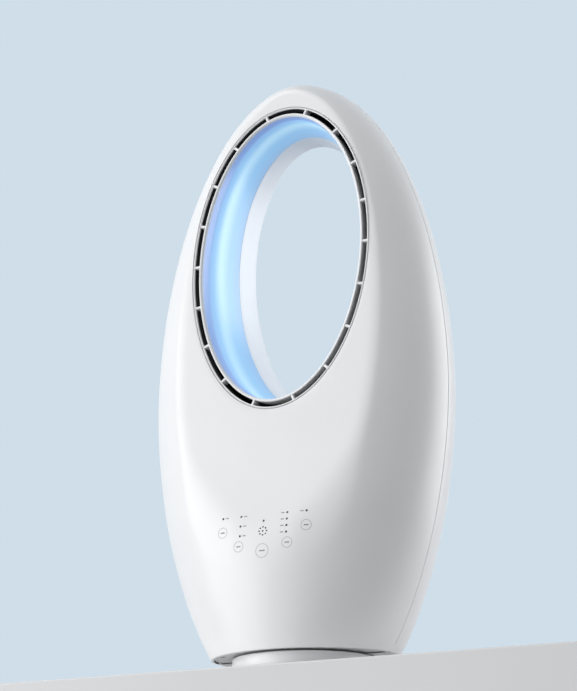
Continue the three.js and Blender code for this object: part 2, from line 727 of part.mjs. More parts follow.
// Upright bosses that take the floor's screws, each with a web out to the shell's wall.
const floorScrewX = halfWidthAt(FLOOR_Z, WALL + FIT) - FLOOR_SCREW_MARGIN;
const floorScrews = [-1, 1].flatMap((side) => [-1, 1].map((back) => (
  { x: side * floorScrewX, y: back * FLOOR_SCREW_Y })));

function floorBosses(back) {
  const z0 = FLOOR_TOP_Z + FIT;
  return floorScrews.filter((screw) => screw.y * back > 0).map(({ x, y }) => {
    const boss = pillar(BOSS_RADIUS, z0, z0 + FLOOR_BOSS_HEIGHT, x, y, SMALL_ROUND_STEPS);
    const webEnds = [x, Math.sign(x) * HALF_WIDTH].sort((first, second) => first - second);
    const web = box([webEnds[0], y - 1.2, z0], [webEnds[1], y + 1.2, z0 + FLOOR_BOSS_HEIGHT]);
    const hole = pillar(SCREW_RADIUS + FIT, z0 - 1, z0 + FLOOR_SCREW_LENGTH, x, y, SMALL_ROUND_STEPS);
    return cut(joined(boss, web), hole).intersect(wallCore);
  });
}

function screwHoles(radius, y0, y1) {
  return shellScrews.map(({ x, z }) => rod(radius, y0, y1, x, z, SMALL_ROUND_STEPS));
}

function frontShell() {
  const skin = outerBody.subtract(innerBody);
  const bosses = [...shellBosses(-HALF_DEPTH, SEAM_Y), ...floorBosses(-1), ...boardBosses()];
  const whole = joined(skin, ...bosses).intersect(slice(-HALF_DEPTH - PASS, SEAM_Y - FIT / 2));
  const mouth = straightOval(LIP_OUTER + NOZZLE_REVEAL, 0, -HALF_DEPTH - PASS, SEAM_Y + PASS);
  const flangeSeat = ovalRing([
    [0, WALL, LIP_OUTER],
    [0, WALL, LIP_OUTER + NOZZLE_FLANGE + FIT],
    [0, PASS, LIP_OUTER + NOZZLE_FLANGE + FIT],
    [0, PASS, LIP_OUTER],
  ]);
  const pilots = screwHoles(SCREW_RADIUS + FIT, SHELL_SCREW_HEAD_Y - SHELL_SCREW_LENGTH - FIT, PASS);
  return cut(whole, mouth, flangeSeat, ...pilots, ...panelHoles());
}

// The band behind the light, with the rounded rear edge of the opening; it runs into the shell.
function rearCollar() {
  const outside = COLLAR_THICK;
  const rimRound = [0, 30, 60].map((turn) => [
    1, -REAR_RIM_ROUND * (1 - Math.sin(degrees(turn))), REAR_RIM_ROUND * (1 - Math.cos(degrees(turn)))]);
  return ovalRing([
    [BAND_END, FIT / 2, wallOffset(BAND_END)],
    ...rimRound,
    [1, -0.1, REAR_HOLE_OFFSET - 0.1],
    [1, -WALL / 3, REAR_HOLE_OFFSET + FUSE],
    [1, -REAR_RIM_ROUND, outside],
    [BAND_END, FIT / 2 + COLLAR_THICK, wallOffset(BAND_END) + outside],
    [BAND_END, FIT / 2 + COLLAR_THICK, wallOffset(BAND_END) + COLLAR_FLANGE],
    [BAND_END, FIT / 2, wallOffset(BAND_END) + COLLAR_FLANGE],
  ]);
}

function grilleSeat() {
  const middle = [0, GRILLE_Z];
  const inner = GRILLE_RADIUS + FIT;
  const wall = rod(inner + GRILLE_SEAT, 0, GRILLE_COLLAR_DEPTH, ...middle, BIG_ROUND_STEPS);
  const bore = rod(inner, -1, GRILLE_RECESS + GRILLE_THICK + FIT, ...middle, BIG_ROUND_STEPS);
  const throat = rod(inner - GRILLE_SEAT, -1, GRILLE_COLLAR_DEPTH + 1, ...middle, BIG_ROUND_STEPS);
  return onRearFacet(cut(wall, bore, throat)).intersect(wallCore);
}

function rearShell() {
  const skin = outerBody.subtract(innerBody);
  const hole = straightOval(REAR_HOLE_OFFSET, 1, -HALF_DEPTH, HALF_DEPTH + PASS);
  const intake = onRearFacet(rod(
    GRILLE_RADIUS + FIT, -PASS, GRILLE_RECESS + GRILLE_THICK + PASS / 2, 0, GRILLE_Z, BIG_ROUND_STEPS));
  const bosses = [...shellBosses(SEAM_Y, HALF_DEPTH), ...floorBosses(1)];
  const openSkin = cut(joined(skin, ...bosses), hole, intake);
  const whole = joined(openSkin, grilleSeat()).intersect(slice(SEAM_Y + FIT / 2, HALF_DEPTH + PASS));
  const collar = rearCollar();
  const heads = screwHoles(SCREW_HEAD_RADIUS + FIT, SHELL_SCREW_HEAD_Y, HALF_DEPTH + PASS);
  const shanks = screwHoles(SCREW_RADIUS + FIT, SEAM_Y - 1, SHELL_SCREW_HEAD_Y + 1);
  return cut(joined(whole, collar), ...heads, ...shanks);
}

// A round grille with rows of slots on both sides of a middle spine.
function intakeGrille() {
  const usable = GRILLE_RADIUS - GRILLE_RIM;
  const pitch = GRILLE_SLOT + GRILLE_BAR;
  const rows = Math.floor((2 * usable - GRILLE_SLOT) / pitch) + 1;
  const disc = rod(GRILLE_RADIUS, GRILLE_RECESS, GRILLE_RECESS + GRILLE_THICK, 0, GRILLE_Z, BIG_ROUND_STEPS);
  const slots = [];
  for (let row = 0; row < rows; row += 1) {
    const high = (row - (rows - 1) / 2) * pitch;
    const edge = Math.abs(high) + GRILLE_SLOT / 2;
    const reach = Math.sqrt(Math.max(usable * usable - edge * edge, 0));
    if (reach > GRILLE_SPINE / 2 + GRILLE_SLOT) {
      const up = GRILLE_Z + high - GRILLE_SLOT / 2;
      [[-reach, -GRILLE_SPINE / 2], [GRILLE_SPINE / 2, reach]].forEach(([x0, x1]) => {
        slots.push(box([x0, -PASS, up], [x1, GRILLE_RECESS + PASS, up + GRILLE_SLOT]));
      });
    }
  }
  return onRearFacet(cut(disc, ...slots));
}

// ---------------------------------------------------------------- base and swivel

function baseCover() {
  const shell = turned([
    [POST_RADIUS + RUNNING_FIT, BASE_TOP_Z - BASE_WALL],
    [BASE_RADIUS - BASE_WALL, BASE_TOP_Z - BASE_WALL],
    [BASE_RADIUS - BASE_WALL, PLATE_Z],
    [BASE_RADIUS - BASE_EDGE_ROUND, PLATE_Z],
    [BASE_RADIUS, PLATE_Z + BASE_EDGE_ROUND],
    [BASE_RADIUS, BASE_TOP_Z - BASE_EDGE_ROUND],
    [BASE_RADIUS - BASE_EDGE_ROUND, BASE_TOP_Z],
    [POST_RADIUS + RUNNING_FIT, BASE_TOP_Z],
  ]);
  return shell.subtract(rod(GLAND_RADIUS + FIT, BASE_RADIUS - PASS, BASE_RADIUS + PASS, 0, GLAND_Z));
}

function basePlate() {
  const radius = BASE_RADIUS - BASE_WALL - FIT;
  const disc = pillar(radius, PLATE_Z, PLATE_Z + BASE_PLATE_THICK, 0, 0, BIG_ROUND_STEPS);
  return cut(disc, ...postScrewHoles());
}

function ballastPlate() {
  const ring = turned([
    [BALLAST_HOLE_RADIUS, ON_PLATE_Z],
    [BASE_RADIUS - BASE_WALL - BALLAST_RIM_GAP, ON_PLATE_Z],
    [BASE_RADIUS - BASE_WALL - BALLAST_RIM_GAP, ON_PLATE_Z + BALLAST_THICK],
    [BALLAST_HOLE_RADIUS, ON_PLATE_Z + BALLAST_THICK],
  ]);
  const half = CORD_SLOT_WIDTH / 2;
  return ring.subtract(box([-half, 0, ON_PLATE_Z - 1], [half, BASE_RADIUS, BASE_TOP_Z]));
}

function cordGland() {
  const outside = BASE_RADIUS + FIT;
  const length = BASE_WALL + 2 * FIT + GLAND_FLANGE_THICK;
  const barrel = rod(GLAND_RADIUS, outside - length, outside + FIT, 0, GLAND_Z);
  const flange = rod(GLAND_FLANGE_RADIUS, outside, outside + GLAND_FLANGE_THICK, 0, GLAND_Z);
  const inner = outside - length;
  const bore = rod(GLAND_BORE_RADIUS, inner - 1, outside + GLAND_FLANGE_THICK + 1, 0, GLAND_Z);
  return joined(barrel, flange).subtract(bore);
}

const postScrews = Array.from({ length: POST_SCREW_COUNT }, (_, index) => {
  const angle = degrees(-90) + (index / POST_SCREW_COUNT) * 2 * Math.PI;
  return { x: POST_SCREW_CIRCLE * Math.cos(angle), y: POST_SCREW_CIRCLE * Math.sin(angle) };
});

function postScrewHoles() {
  return postScrews.map(({ x, y }) => (
    pillar(SCREW_RADIUS + FIT, 0, BASE_TOP_Z, x, y, SMALL_ROUND_STEPS)));
}

function swivelPost() {
  const tube = turned([
    [POST_BORE_RADIUS, ON_PLATE_Z],
    [POST_FLANGE_RADIUS, ON_PLATE_Z],
    [POST_FLANGE_RADIUS, ON_PLATE_Z + POST_FLANGE_THICK],
    [POST_RADIUS, ON_PLATE_Z + POST_FLANGE_THICK],
    [POST_RADIUS, GEAR_Z - FIT],
    [POST_NECK_RADIUS, GEAR_Z - FIT],
    [POST_NECK_RADIUS, POST_TOP_Z],
    [POST_BORE_RADIUS, POST_TOP_Z],
  ], ROUND_STEPS);
  const half = CORD_SLOT_WIDTH / 2;
  const cordWay = box(
    [-half, 0, ON_PLATE_Z + POST_FLANGE_THICK], [half, POST_FLANGE_RADIUS, BASE_TOP_Z - BASE_WALL]);
  return cut(tube, cordWay, ...postScrewHoles());
}

// Screws with the head at headZ; a positive length runs up from the head.
function uprightScrew(x, y, headZ, length) {
  const up = Math.sign(length);
  const head = [headZ, headZ - up * SCREW_HEAD_THICK].sort((low, high) => low - high);
  const shank = [headZ - up * FIT, headZ + length].sort((low, high) => low - high);
  return joined(
    pillar(SCREW_HEAD_RADIUS, head[0], head[1], x, y, SMALL_ROUND_STEPS),
    pillar(SCREW_RADIUS, shank[0], shank[1], x, y, SMALL_ROUND_STEPS));
}

function bodyFloor() {
  const plate = layer(FLOOR_Z, FLOOR_TOP_Z).intersect(fittedBody);
  const bearing = pillar(BUSH_INNER + BUSH_WALL + FIT, FLOOR_Z - 1, FLOOR_TOP_Z + 1);
  const motorPosts = [-1, 1].map((side) => pillar(
    SWIVEL_MOTOR_EAR_RADIUS - 1, FLOOR_TOP_Z - FUSE, SWIVEL_MOTOR_Z - FIT,
    side * SWIVEL_MOTOR_EAR_REACH, -GEAR_CENTRES, SMALL_ROUND_STEPS));
  const boardPosts = [-1, 1].flatMap((side) => [-1, 1].map((back) => pillar(
    BOARD_BOSS_RADIUS, FLOOR_TOP_Z - FUSE, FLOOR_TOP_Z + POWER_BOARD_LIFT - FIT,
    POWER_BOARD_X + side * (POWER_BOARD_WIDTH / 2 - BOARD_BOSS_RADIUS),
    POWER_BOARD_Y + back * (POWER_BOARD_LENGTH / 2 - BOARD_BOSS_RADIUS), SMALL_ROUND_STEPS)));
  const sinks = floorScrews.flatMap(({ x, y }) => [
    pillar(SCREW_HEAD_RADIUS + FIT, FLOOR_Z - 1, FLOOR_Z + SCREW_HEAD_THICK + FIT, x, y, SMALL_ROUND_STEPS),
    pillar(SCREW_RADIUS + FIT, FLOOR_Z, FLOOR_TOP_Z + 1, x, y, SMALL_ROUND_STEPS)]);
  return cut(joined(plate, ...motorPosts, ...boardPosts), bearing, ...sinks);
}

function postBush() {
  const outer = BUSH_INNER + BUSH_WALL;
  return turned([
    [BUSH_INNER, FLOOR_Z],
    [outer, FLOOR_Z],
    [outer, FLOOR_TOP_Z + FIT],
    [outer + BUSH_FLANGE, FLOOR_TOP_Z + FIT],
    [outer + BUSH_FLANGE, BUSH_TOP_Z],
    [BUSH_INNER, BUSH_TOP_Z],
  ], ROUND_STEPS);
}

function thrustRing() {
  return turned([
    [THRUST_INNER_RADIUS, THRUST_Z],
    [THRUST_OUTER_RADIUS, THRUST_Z],
    [THRUST_OUTER_RADIUS, THRUST_Z + THRUST_THICK],
    [THRUST_INNER_RADIUS, THRUST_Z + THRUST_THICK],
  ]);
}

// Involute outline of a spur gear; a turn of zero puts a tooth on +X.
function gearOutline(teeth, turn) {
  const pitchRadius = GEAR_MODULE * teeth / 2;
  const baseRadius = pitchRadius * Math.cos(degrees(20));
  const rootRadius = pitchRadius - 1.3 * GEAR_MODULE;
  const tipRadius = pitchRadius + 0.9 * GEAR_MODULE;
  const involute = (angle) => Math.tan(angle) - angle;
  const halfAtPitch = (Math.PI / 2) / teeth - GEAR_BACKLASH / (4 * pitchRadius);
  const halfAt = (radius) => {
    const pressure = Math.acos(Math.min(baseRadius / radius, 1));
    return halfAtPitch + involute(degrees(20)) - involute(pressure);
  };
  const flankStart = Math.max(rootRadius, baseRadius);
  const radii = [flankStart, tipRadius];
  const outline = [];
  for (let tooth = 0; tooth < teeth; tooth += 1) {
    const middle = turn + (tooth / teeth) * 2 * Math.PI;
    const flank = [[rootRadius, halfAt(flankStart)], ...radii.map((radius) => [radius, halfAt(radius)])];
    const points = flankStart > rootRadius ? flank : flank.slice(1);
    points.forEach(([radius, half]) => outline.push([radius, middle - half]));
    [...points].reverse().forEach(([radius, half]) => outline.push([radius, middle + half]));
  }
  return outline.map(([radius, angle]) => [radius * Math.cos(angle), radius * Math.sin(angle)]);
}

function fixedGear() {
  const bore = pillar(POST_NECK_RADIUS + FIT, GEAR_Z - 1, GEAR_Z + GEAR_WIDTH + 1);
  return prism(gearOutline(GEAR_TEETH, degrees(-90)), GEAR_Z, GEAR_Z + GEAR_WIDTH).subtract(bore);
}

// The pinion stands in front of the fixed gear, with a gap between its teeth on the middle line.
function swivelPinion() {
  const turn = degrees(90) + Math.PI / PINION_TEETH;
  const wheel = prism(gearOutline(PINION_TEETH, turn), GEAR_Z, GEAR_Z + GEAR_WIDTH);
  const shaft = pillar(PINION_SHAFT_RADIUS, GEAR_Z + GEAR_WIDTH - 1, SWIVEL_MOTOR_Z - FIT, 0, 0, SMALL_ROUND_STEPS);
  return joined(wheel, shaft).translate([0, -GEAR_CENTRES, 0]);
}

function postNut() {
  const bore = pillar(POST_NECK_RADIUS + FIT, NUT_Z - 1, NUT_Z + NUT_THICK + 1);
  return prism(hexagon(NUT_ACROSS_FLATS), NUT_Z, NUT_Z + NUT_THICK).subtract(bore);
}

function swivelMotor() {
  const y = -GEAR_CENTRES;
  const z = SWIVEL_MOTOR_Z;
  const can = pillar(SWIVEL_MOTOR_RADIUS, z, z + SWIVEL_MOTOR_HEIGHT, 0, y);
  const ears = [-1, 1].map((side) => pillar(
    SWIVEL_MOTOR_EAR_RADIUS, z, z + SWIVEL_MOTOR_EAR_THICK, side * SWIVEL_MOTOR_EAR_REACH, y, SMALL_ROUND_STEPS));
  const bridge = box(
    [-SWIVEL_MOTOR_EAR_REACH, y - SWIVEL_MOTOR_EAR_RADIUS, z],
    [SWIVEL_MOTOR_EAR_REACH, y + SWIVEL_MOTOR_EAR_RADIUS, z + SWIVEL_MOTOR_EAR_THICK]);
  return joined(can, bridge, ...ears);
}

// ---------------------------------------------------------------- blower

// Outline of the scroll's air space in X and Z: the spiral opens to a mouth that faces up.
function scrollOutline(growth, mouthZ) {
  const steps = 20;
  const sweep = 2 * Math.PI - SCROLL_TONGUE_ANGLE;
  const outline = [];
  for (let step = 0; step <= steps; step += 1) {
    const share = step / steps;
    const radius = THREE.MathUtils.lerp(SCROLL_START_RADIUS, SCROLL_END_RADIUS, share) + growth;
    const angle = SCROLL_TONGUE_ANGLE + share * sweep;
    outline.push([radius * Math.cos(angle), BLOWER_Z + radius * Math.sin(angle)]);
  }
  outline.push([SCROLL_END_RADIUS + growth, mouthZ]);
  const tongueX = SCROLL_START_RADIUS * Math.cos(SCROLL_TONGUE_ANGLE) - growth;
  outline.push([tongueX, mouthZ]);
  return outline;
}

function scrollHalf(y0, y1, floorY0, floorY1) {
  const mouthZ = DIVIDER_Z - FIT;
  const block = slab(scrollOutline(SCROLL_WALL, mouthZ), y0, y1);
  const air = slab(scrollOutline(0, mouthZ + PASS), y0 - PASS, y1 + PASS);
  const endWall = slab(scrollOutline(SCROLL_WALL, mouthZ), floorY0, floorY1);
  return joined(block.subtract(air), endWall);
}

function scrollFeet() {
  const z0 = FLOOR_TOP_Z + FIT;
  return [-1, 1].map((side) => {
    const x = side * SCROLL_FOOT_SPACING / 2;
    const block = box(
      [x - SCROLL_FOOT_WIDTH / 2, SCROLL_FRONT_Y, z0],
      [x + SCROLL_FOOT_WIDTH / 2, SCROLL_SPLIT_Y - FIT / 2, BLOWER_Z - SCROLL_START_RADIUS]);
    return block.subtract(slab(scrollOutline(SCROLL_WALL / 2, DIVIDER_Z), 0, SCROLL_REAR_Y));
  });
}

function blowerScroll() {
  const half = scrollHalf(
    SCROLL_FRONT_Y, SCROLL_SPLIT_Y - FIT / 2, SCROLL_FRONT_Y, SCROLL_FRONT_Y + SCROLL_WALL);
  const shaftHole = rod(
    IMPELLER_HUB_RADIUS, 0, SCROLL_FRONT_Y + SCROLL_WALL + 1, 0, BLOWER_Z);
  return cut(joined(half, ...scrollFeet()), shaftHole);
}

function blowerCover() {
  const half = scrollHalf(
    SCROLL_SPLIT_Y + FIT / 2, SCROLL_REAR_Y, SCROLL_REAR_Y - SCROLL_WALL, SCROLL_REAR_Y);
  const inlet = rod(INLET_RADIUS, SCROLL_SPLIT_Y, SCROLL_REAR_Y + PASS, 0, BLOWER_Z, BIG_ROUND_STEPS);
  const lip = rod(
    INLET_RADIUS + SCROLL_WALL, SCROLL_REAR_Y - SCROLL_WALL, SCROLL_REAR_Y + INLET_LIP, 0, BLOWER_Z,
    BIG_ROUND_STEPS);
  return cut(joined(half, lip), inlet);
}

// One backward-swept blade as a bent plate between the eye and the rim.
function blade(start) {
  const steps = 4;
  const leading = [];
  const trailing = [];
  for (let step = 0; step <= steps; step += 1) {
    const share = step / steps;
    const radius = THREE.MathUtils.lerp(IMPELLER_EYE_RADIUS - 2, IMPELLER_RADIUS - 0.5, share);
    const angle = start - BLADE_SWEEP * share * (1.35 - 0.35 * share);
    const half = BLADE_THICK / 2 / radius;
    leading.push([radius * Math.cos(angle + half), BLOWER_Z + radius * Math.sin(angle + half)]);
    trailing.unshift([radius * Math.cos(angle - half), BLOWER_Z + radius * Math.sin(angle - half)]);
  }
  return slab(
    [...leading, ...trailing], IMPELLER_Y + IMPELLER_PLATE_THICK / 2,
    IMPELLER_Y + IMPELLER_WIDTH - IMPELLER_PLATE_THICK / 2);
}

function impeller() {
  const rearY = IMPELLER_Y + IMPELLER_WIDTH;
  const plate = rod(IMPELLER_RADIUS, IMPELLER_Y, IMPELLER_Y + IMPELLER_PLATE_THICK, 0, BLOWER_Z, BIG_ROUND_STEPS);
  const shroud = rod(IMPELLER_RADIUS, rearY - IMPELLER_PLATE_THICK, rearY, 0, BLOWER_Z, BIG_ROUND_STEPS);
  const eye = rod(IMPELLER_EYE_RADIUS, rearY - PASS, rearY + 1, 0, BLOWER_Z, BIG_ROUND_STEPS);
  const hub = rod(IMPELLER_HUB_RADIUS, IMPELLER_Y, IMPELLER_Y + IMPELLER_HUB_LENGTH, 0, BLOWER_Z);
  const bore = rod(SHAFT_RADIUS + FIT, IMPELLER_Y - 1, rearY, 0, BLOWER_Z);
  const blades = Array.from({ length: BLADE_COUNT }, (_, index) => (
    blade((index / BLADE_COUNT) * 2 * Math.PI)));
  return cut(joined(plate, shroud.subtract(eye), hub, ...blades), bore);
}

function motorShaft() {
  const end = IMPELLER_Y + IMPELLER_HUB_LENGTH + FIT + SHAFT_NUT_THICK + 1;
  return rod(SHAFT_RADIUS, MOTOR_FACE_Y - MOTOR_BORE_DEPTH + FIT, end, 0, BLOWER_Z);
}

function impellerNut() {
  const y0 = IMPELLER_Y + IMPELLER_HUB_LENGTH + FIT;
  const outline = hexagon(SHAFT_NUT_ACROSS_FLATS).map(([x, z]) => [x, z + BLOWER_Z]);
  const bore = rod(SHAFT_RADIUS + FIT, y0 - 1, y0 + SHAFT_NUT_THICK + 1, 0, BLOWER_Z);
  return slab(outline, y0, y0 + SHAFT_NUT_THICK).subtract(bore);
}

function fanMotor() {
  const can = rod(MOTOR_RADIUS, MOTOR_FACE_Y - MOTOR_LENGTH, MOTOR_FACE_Y, 0, BLOWER_Z, BIG_ROUND_STEPS);
  const flange = rod(MOTOR_FLANGE_RADIUS, MOTOR_FACE_Y - MOTOR_FLANGE_THICK, MOTOR_FACE_Y, 0, BLOWER_Z, BIG_ROUND_STEPS);
  const bore = rod(
    SHAFT_RADIUS + FIT, MOTOR_FACE_Y - MOTOR_BORE_DEPTH, MOTOR_FACE_Y + 1, 0, BLOWER_Z);
  return joined(can, flange).subtract(bore);
}

const damperCircle = MOTOR_FLANGE_RADIUS - DAMPER_RADIUS;

function motorDamper(index) {
  const angle = degrees(90) + (index / DAMPER_COUNT) * 2 * Math.PI;
  return rod(
    DAMPER_RADIUS, MOTOR_FACE_Y + FIT, SCROLL_FRONT_Y - FIT, damperCircle * Math.cos(angle),
    BLOWER_Z + damperCircle * Math.sin(angle), SMALL_ROUND_STEPS);
}

// The plate that shuts the lower body from the ring, open only at the scroll's mouth.
function plenumDivider() {
  const plate = layer(DIVIDER_Z, DIVIDER_Z + DIVIDER_THICK).intersect(fittedBody);
  const mouth = box(
    [SCROLL_START_RADIUS * Math.cos(SCROLL_TONGUE_ANGLE), SCROLL_FRONT_Y + SCROLL_WALL, DIVIDER_Z - 1],
    [SCROLL_END_RADIUS, SCROLL_REAR_Y - SCROLL_WALL, DIVIDER_Z + DIVIDER_THICK + 1]);
  return plate.subtract(mouth);
}

// ---------------------------------------------------------------- electronics

function controlBoard() {
  return onPanel(box(
    [-boardHalfWidth, BOARD_DEPTH, boardLowUp],
    [boardHalfWidth, BOARD_DEPTH + BOARD_THICK, boardHighUp]));
}

function keySpring(spot) {
  const radius = KEY_SPRING_RADIUS;
  const spring = rod(radius, -PASS, BOARD_DEPTH - FIT, spot.x, spot.up, SMALL_ROUND_STEPS);
  return onPanel(spring).intersect(fittedBody);
}

// A clear moulding with a pin for each lamp, its pins flush with the front of the shell.
function lightGuide() {
  const back = BOARD_DEPTH - FIT;
  const front = back - LIGHT_GUIDE_THICK;
  const half = LIGHT_GUIDE_BAR / 2;
  const highUp = LAMP_TOP_UP + half;
  const bar = box([-OUTER_KEY.x - half, front, LAMP_TOP_UP - half], [OUTER_KEY.x + half, back, highUp]);
  const legs = [
    [-LAMP_COLUMN_X, lowestLampUp], [LAMP_COLUMN_X, lowestLampUp], [0, MIDDLE_LAMP_UP],
  ].map(([x, lowUp]) => box([x - half, front, lowUp - LAMP_HOLE_RADIUS - 1], [x + half, back, highUp]));
  const pins = lampSpots.map((spot) => rod(LIGHT_PIN_RADIUS, -PASS, back - FUSE, spot.x, spot.up, TINY_ROUND_STEPS));
  return joined(...[bar, ...legs, ...pins].map(onPanel)).intersect(outerBody);
}

function buzzer() {
  return onPanel(rod(
    BUZZER_RADIUS, BOARD_DEPTH - FIT - BUZZER_HEIGHT, BOARD_DEPTH - FIT, 0, SOUND_UP));
}

function powerBoard() {
  const z0 = FLOOR_TOP_Z + POWER_BOARD_LIFT;
  const z1 = z0 + BOARD_THICK;
  const halfX = POWER_BOARD_WIDTH / 2;
  const halfY = POWER_BOARD_LENGTH / 2;
  const board = box(
    [POWER_BOARD_X - halfX, POWER_BOARD_Y - halfY, z0], [POWER_BOARD_X + halfX, POWER_BOARD_Y + halfY, z1]);
  const half = TRANSFORMER_SIZE / 2;
  const transformer = box(
    [POWER_BOARD_X - half, POWER_BOARD_Y - half, z1 - FUSE],
    [POWER_BOARD_X + half, POWER_BOARD_Y + half, z1 + TRANSFORMER_SIZE * 0.7]);
  const capacitors = [-1, 1].map((side) => pillar(
    CAPACITOR_RADIUS, z1 - FUSE, z1 + CAPACITOR_HEIGHT, POWER_BOARD_X,
    POWER_BOARD_Y + side * (half + CAPACITOR_RADIUS + 2), SMALL_ROUND_STEPS));
  return joined(board, transformer, ...capacitors);
}

function shellScrew({ x, z }) {
  const head = rod(
    SCREW_HEAD_RADIUS, SHELL_SCREW_HEAD_Y + FIT, SHELL_SCREW_HEAD_Y + FIT + SCREW_HEAD_THICK, x, z,
    SMALL_ROUND_STEPS);
  const shank = rod(
    SCREW_RADIUS, SHELL_SCREW_HEAD_Y - SHELL_SCREW_LENGTH, SHELL_SCREW_HEAD_Y + 2 * FIT, x, z,
    SMALL_ROUND_STEPS);
  return joined(head, shank);
}

// ---------------------------------------------------------------- assembly

addPiece('foot_pad', pillar(PAD_RADIUS, 0, PAD_THICK, 0, 0, BIG_ROUND_STEPS), finishes.rubber);
addPiece('base_plate', basePlate(), finishes.whiteSatin);
addPiece('ballast_plate', ballastPlate(), finishes.steel);
addPiece('base_cover', baseCover(), finishes.whiteShell);
addPiece('cord_gland', cordGland(), finishes.rubber);
addPiece('swivel_post', swivelPost(), finishes.acetal);
postScrews.forEach(({ x, y }, index) => addPiece(
  `post_screw_${index + 1}`,
  uprightScrew(x, y, ON_PLATE_Z + POST_FLANGE_THICK + FIT, -POST_SCREW_LENGTH), finishes.steel));
addPiece('thrust_ring', thrustRing(), finishes.acetal);
addPiece('fixed_gear', fixedGear(), finishes.acetal);
addPiece('post_nut', postNut(), finishes.steel);

addPiece('front_shell', frontShell(), finishes.whiteShell);
addPiece('rear_shell', rearShell(), finishes.whiteShell);
addPiece('body_floor', bodyFloor(), finishes.whiteSatin);
addPiece('post_bush', postBush(), finishes.acetal);
addPiece('nozzle_ring', nozzleRing(), finishes.whiteShell);
addPiece('light_diffuser', lightDiffuser(), finishes.lightBand);
addPiece('led_strip', ledStrip(), finishes.board);
addPiece('throat_liner', throatLiner(), finishes.whiteSatin);
addPiece('intake_grille', intakeGrille(), finishes.whiteSatin);
addPiece('plenum_divider', plenumDivider(), finishes.greyPlastic);
addPiece('blower_scroll', blowerScroll(), finishes.greyPlastic);
addPiece('blower_cover', blowerCover(), finishes.greyPlastic);
addPiece('fan_motor', fanMotor(), finishes.steel);
for (let index = 0; index < DAMPER_COUNT; index += 1) {
  addPiece(`motor_damper_${index + 1}`, motorDamper(index), finishes.rubber);
}
addPiece('swivel_motor', swivelMotor(), finishes.steel);
addPiece('control_board', controlBoard(), finishes.board);
keySpots.forEach((spot, index) => addPiece(`key_spring_${index + 1}`, keySpring(spot), finishes.steel));
addPiece('light_guide', lightGuide(), finishes.lightBand);
addPiece('buzzer', buzzer(), finishes.darkPlastic);
addPiece('power_board', powerBoard(), finishes.board);
shellScrews.forEach((screw, index) => (
  addPiece(`shell_screw_${index + 1}`, shellScrew(screw), finishes.steel)));
floorScrews.forEach(({ x, y }, index) => addPiece(
  `floor_screw_${index + 1}`,
  uprightScrew(x, y, FLOOR_Z + SCREW_HEAD_THICK, FLOOR_SCREW_LENGTH), finishes.steel));

addPiece('impeller', impeller(), finishes.darkPlastic);
addPiece('motor_shaft', motorShaft(), finishes.steel);
addPiece('impeller_nut', impellerNut(), finishes.steel);
addPiece('swivel_pinion', swivelPinion(), finishes.acetal);

export default group;
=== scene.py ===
"""Finish and studio view of an egg-shaped bladeless fan, dressed over its solids.

Lengths are millimetres, as on a drawing, and become metres when a mesh is made. The fan faces -Y,
+Z is up, and the origin is the centre of the base's underside. The sizes of the main forms repeat
those of the solids, so that each dressed piece lies where its solid lies.
"""

from __future__ import annotations

import json
import logging
import math
from dataclasses import dataclass
from enum import Enum

import bpy
import numpy as np
from mathutils import Matrix, Vector

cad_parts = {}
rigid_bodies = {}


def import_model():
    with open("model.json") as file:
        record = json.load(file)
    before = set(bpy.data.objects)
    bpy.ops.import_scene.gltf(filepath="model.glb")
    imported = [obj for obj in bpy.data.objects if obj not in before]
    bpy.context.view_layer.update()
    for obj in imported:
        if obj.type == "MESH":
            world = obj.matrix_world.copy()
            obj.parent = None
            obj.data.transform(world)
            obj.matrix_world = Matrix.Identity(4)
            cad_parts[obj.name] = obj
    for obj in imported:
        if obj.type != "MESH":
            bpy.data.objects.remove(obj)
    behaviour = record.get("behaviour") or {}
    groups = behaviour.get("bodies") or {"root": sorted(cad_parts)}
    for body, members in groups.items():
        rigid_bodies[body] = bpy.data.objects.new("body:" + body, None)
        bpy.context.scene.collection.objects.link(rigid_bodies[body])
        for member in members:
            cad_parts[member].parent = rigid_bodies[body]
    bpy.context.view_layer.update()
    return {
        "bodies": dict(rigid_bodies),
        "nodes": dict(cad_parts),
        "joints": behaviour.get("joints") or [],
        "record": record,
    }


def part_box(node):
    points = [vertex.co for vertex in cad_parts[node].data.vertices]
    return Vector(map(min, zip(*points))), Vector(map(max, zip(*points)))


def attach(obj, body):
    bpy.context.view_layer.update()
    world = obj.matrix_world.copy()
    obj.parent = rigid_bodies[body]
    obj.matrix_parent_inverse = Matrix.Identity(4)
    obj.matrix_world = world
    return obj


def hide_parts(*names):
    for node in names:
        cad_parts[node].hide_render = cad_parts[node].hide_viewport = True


LOG = logging.getLogger("fan")

MM = 0.001                               # metres in a millimetre
FIT = 0.3                                # gap between pieces that touch on the real fan
TAU = 2.0 * math.pi
TINY = 1e-9                              # keeps a divisor off zero
AXIS = 0.02                              # radius of the pinhole left on the axis of a turned solid

Shape = tuple[np.ndarray, list[tuple[int, ...]]]    # points in millimetres, faces as corner indices


# ---------------------------------------------------------------- mesh tools


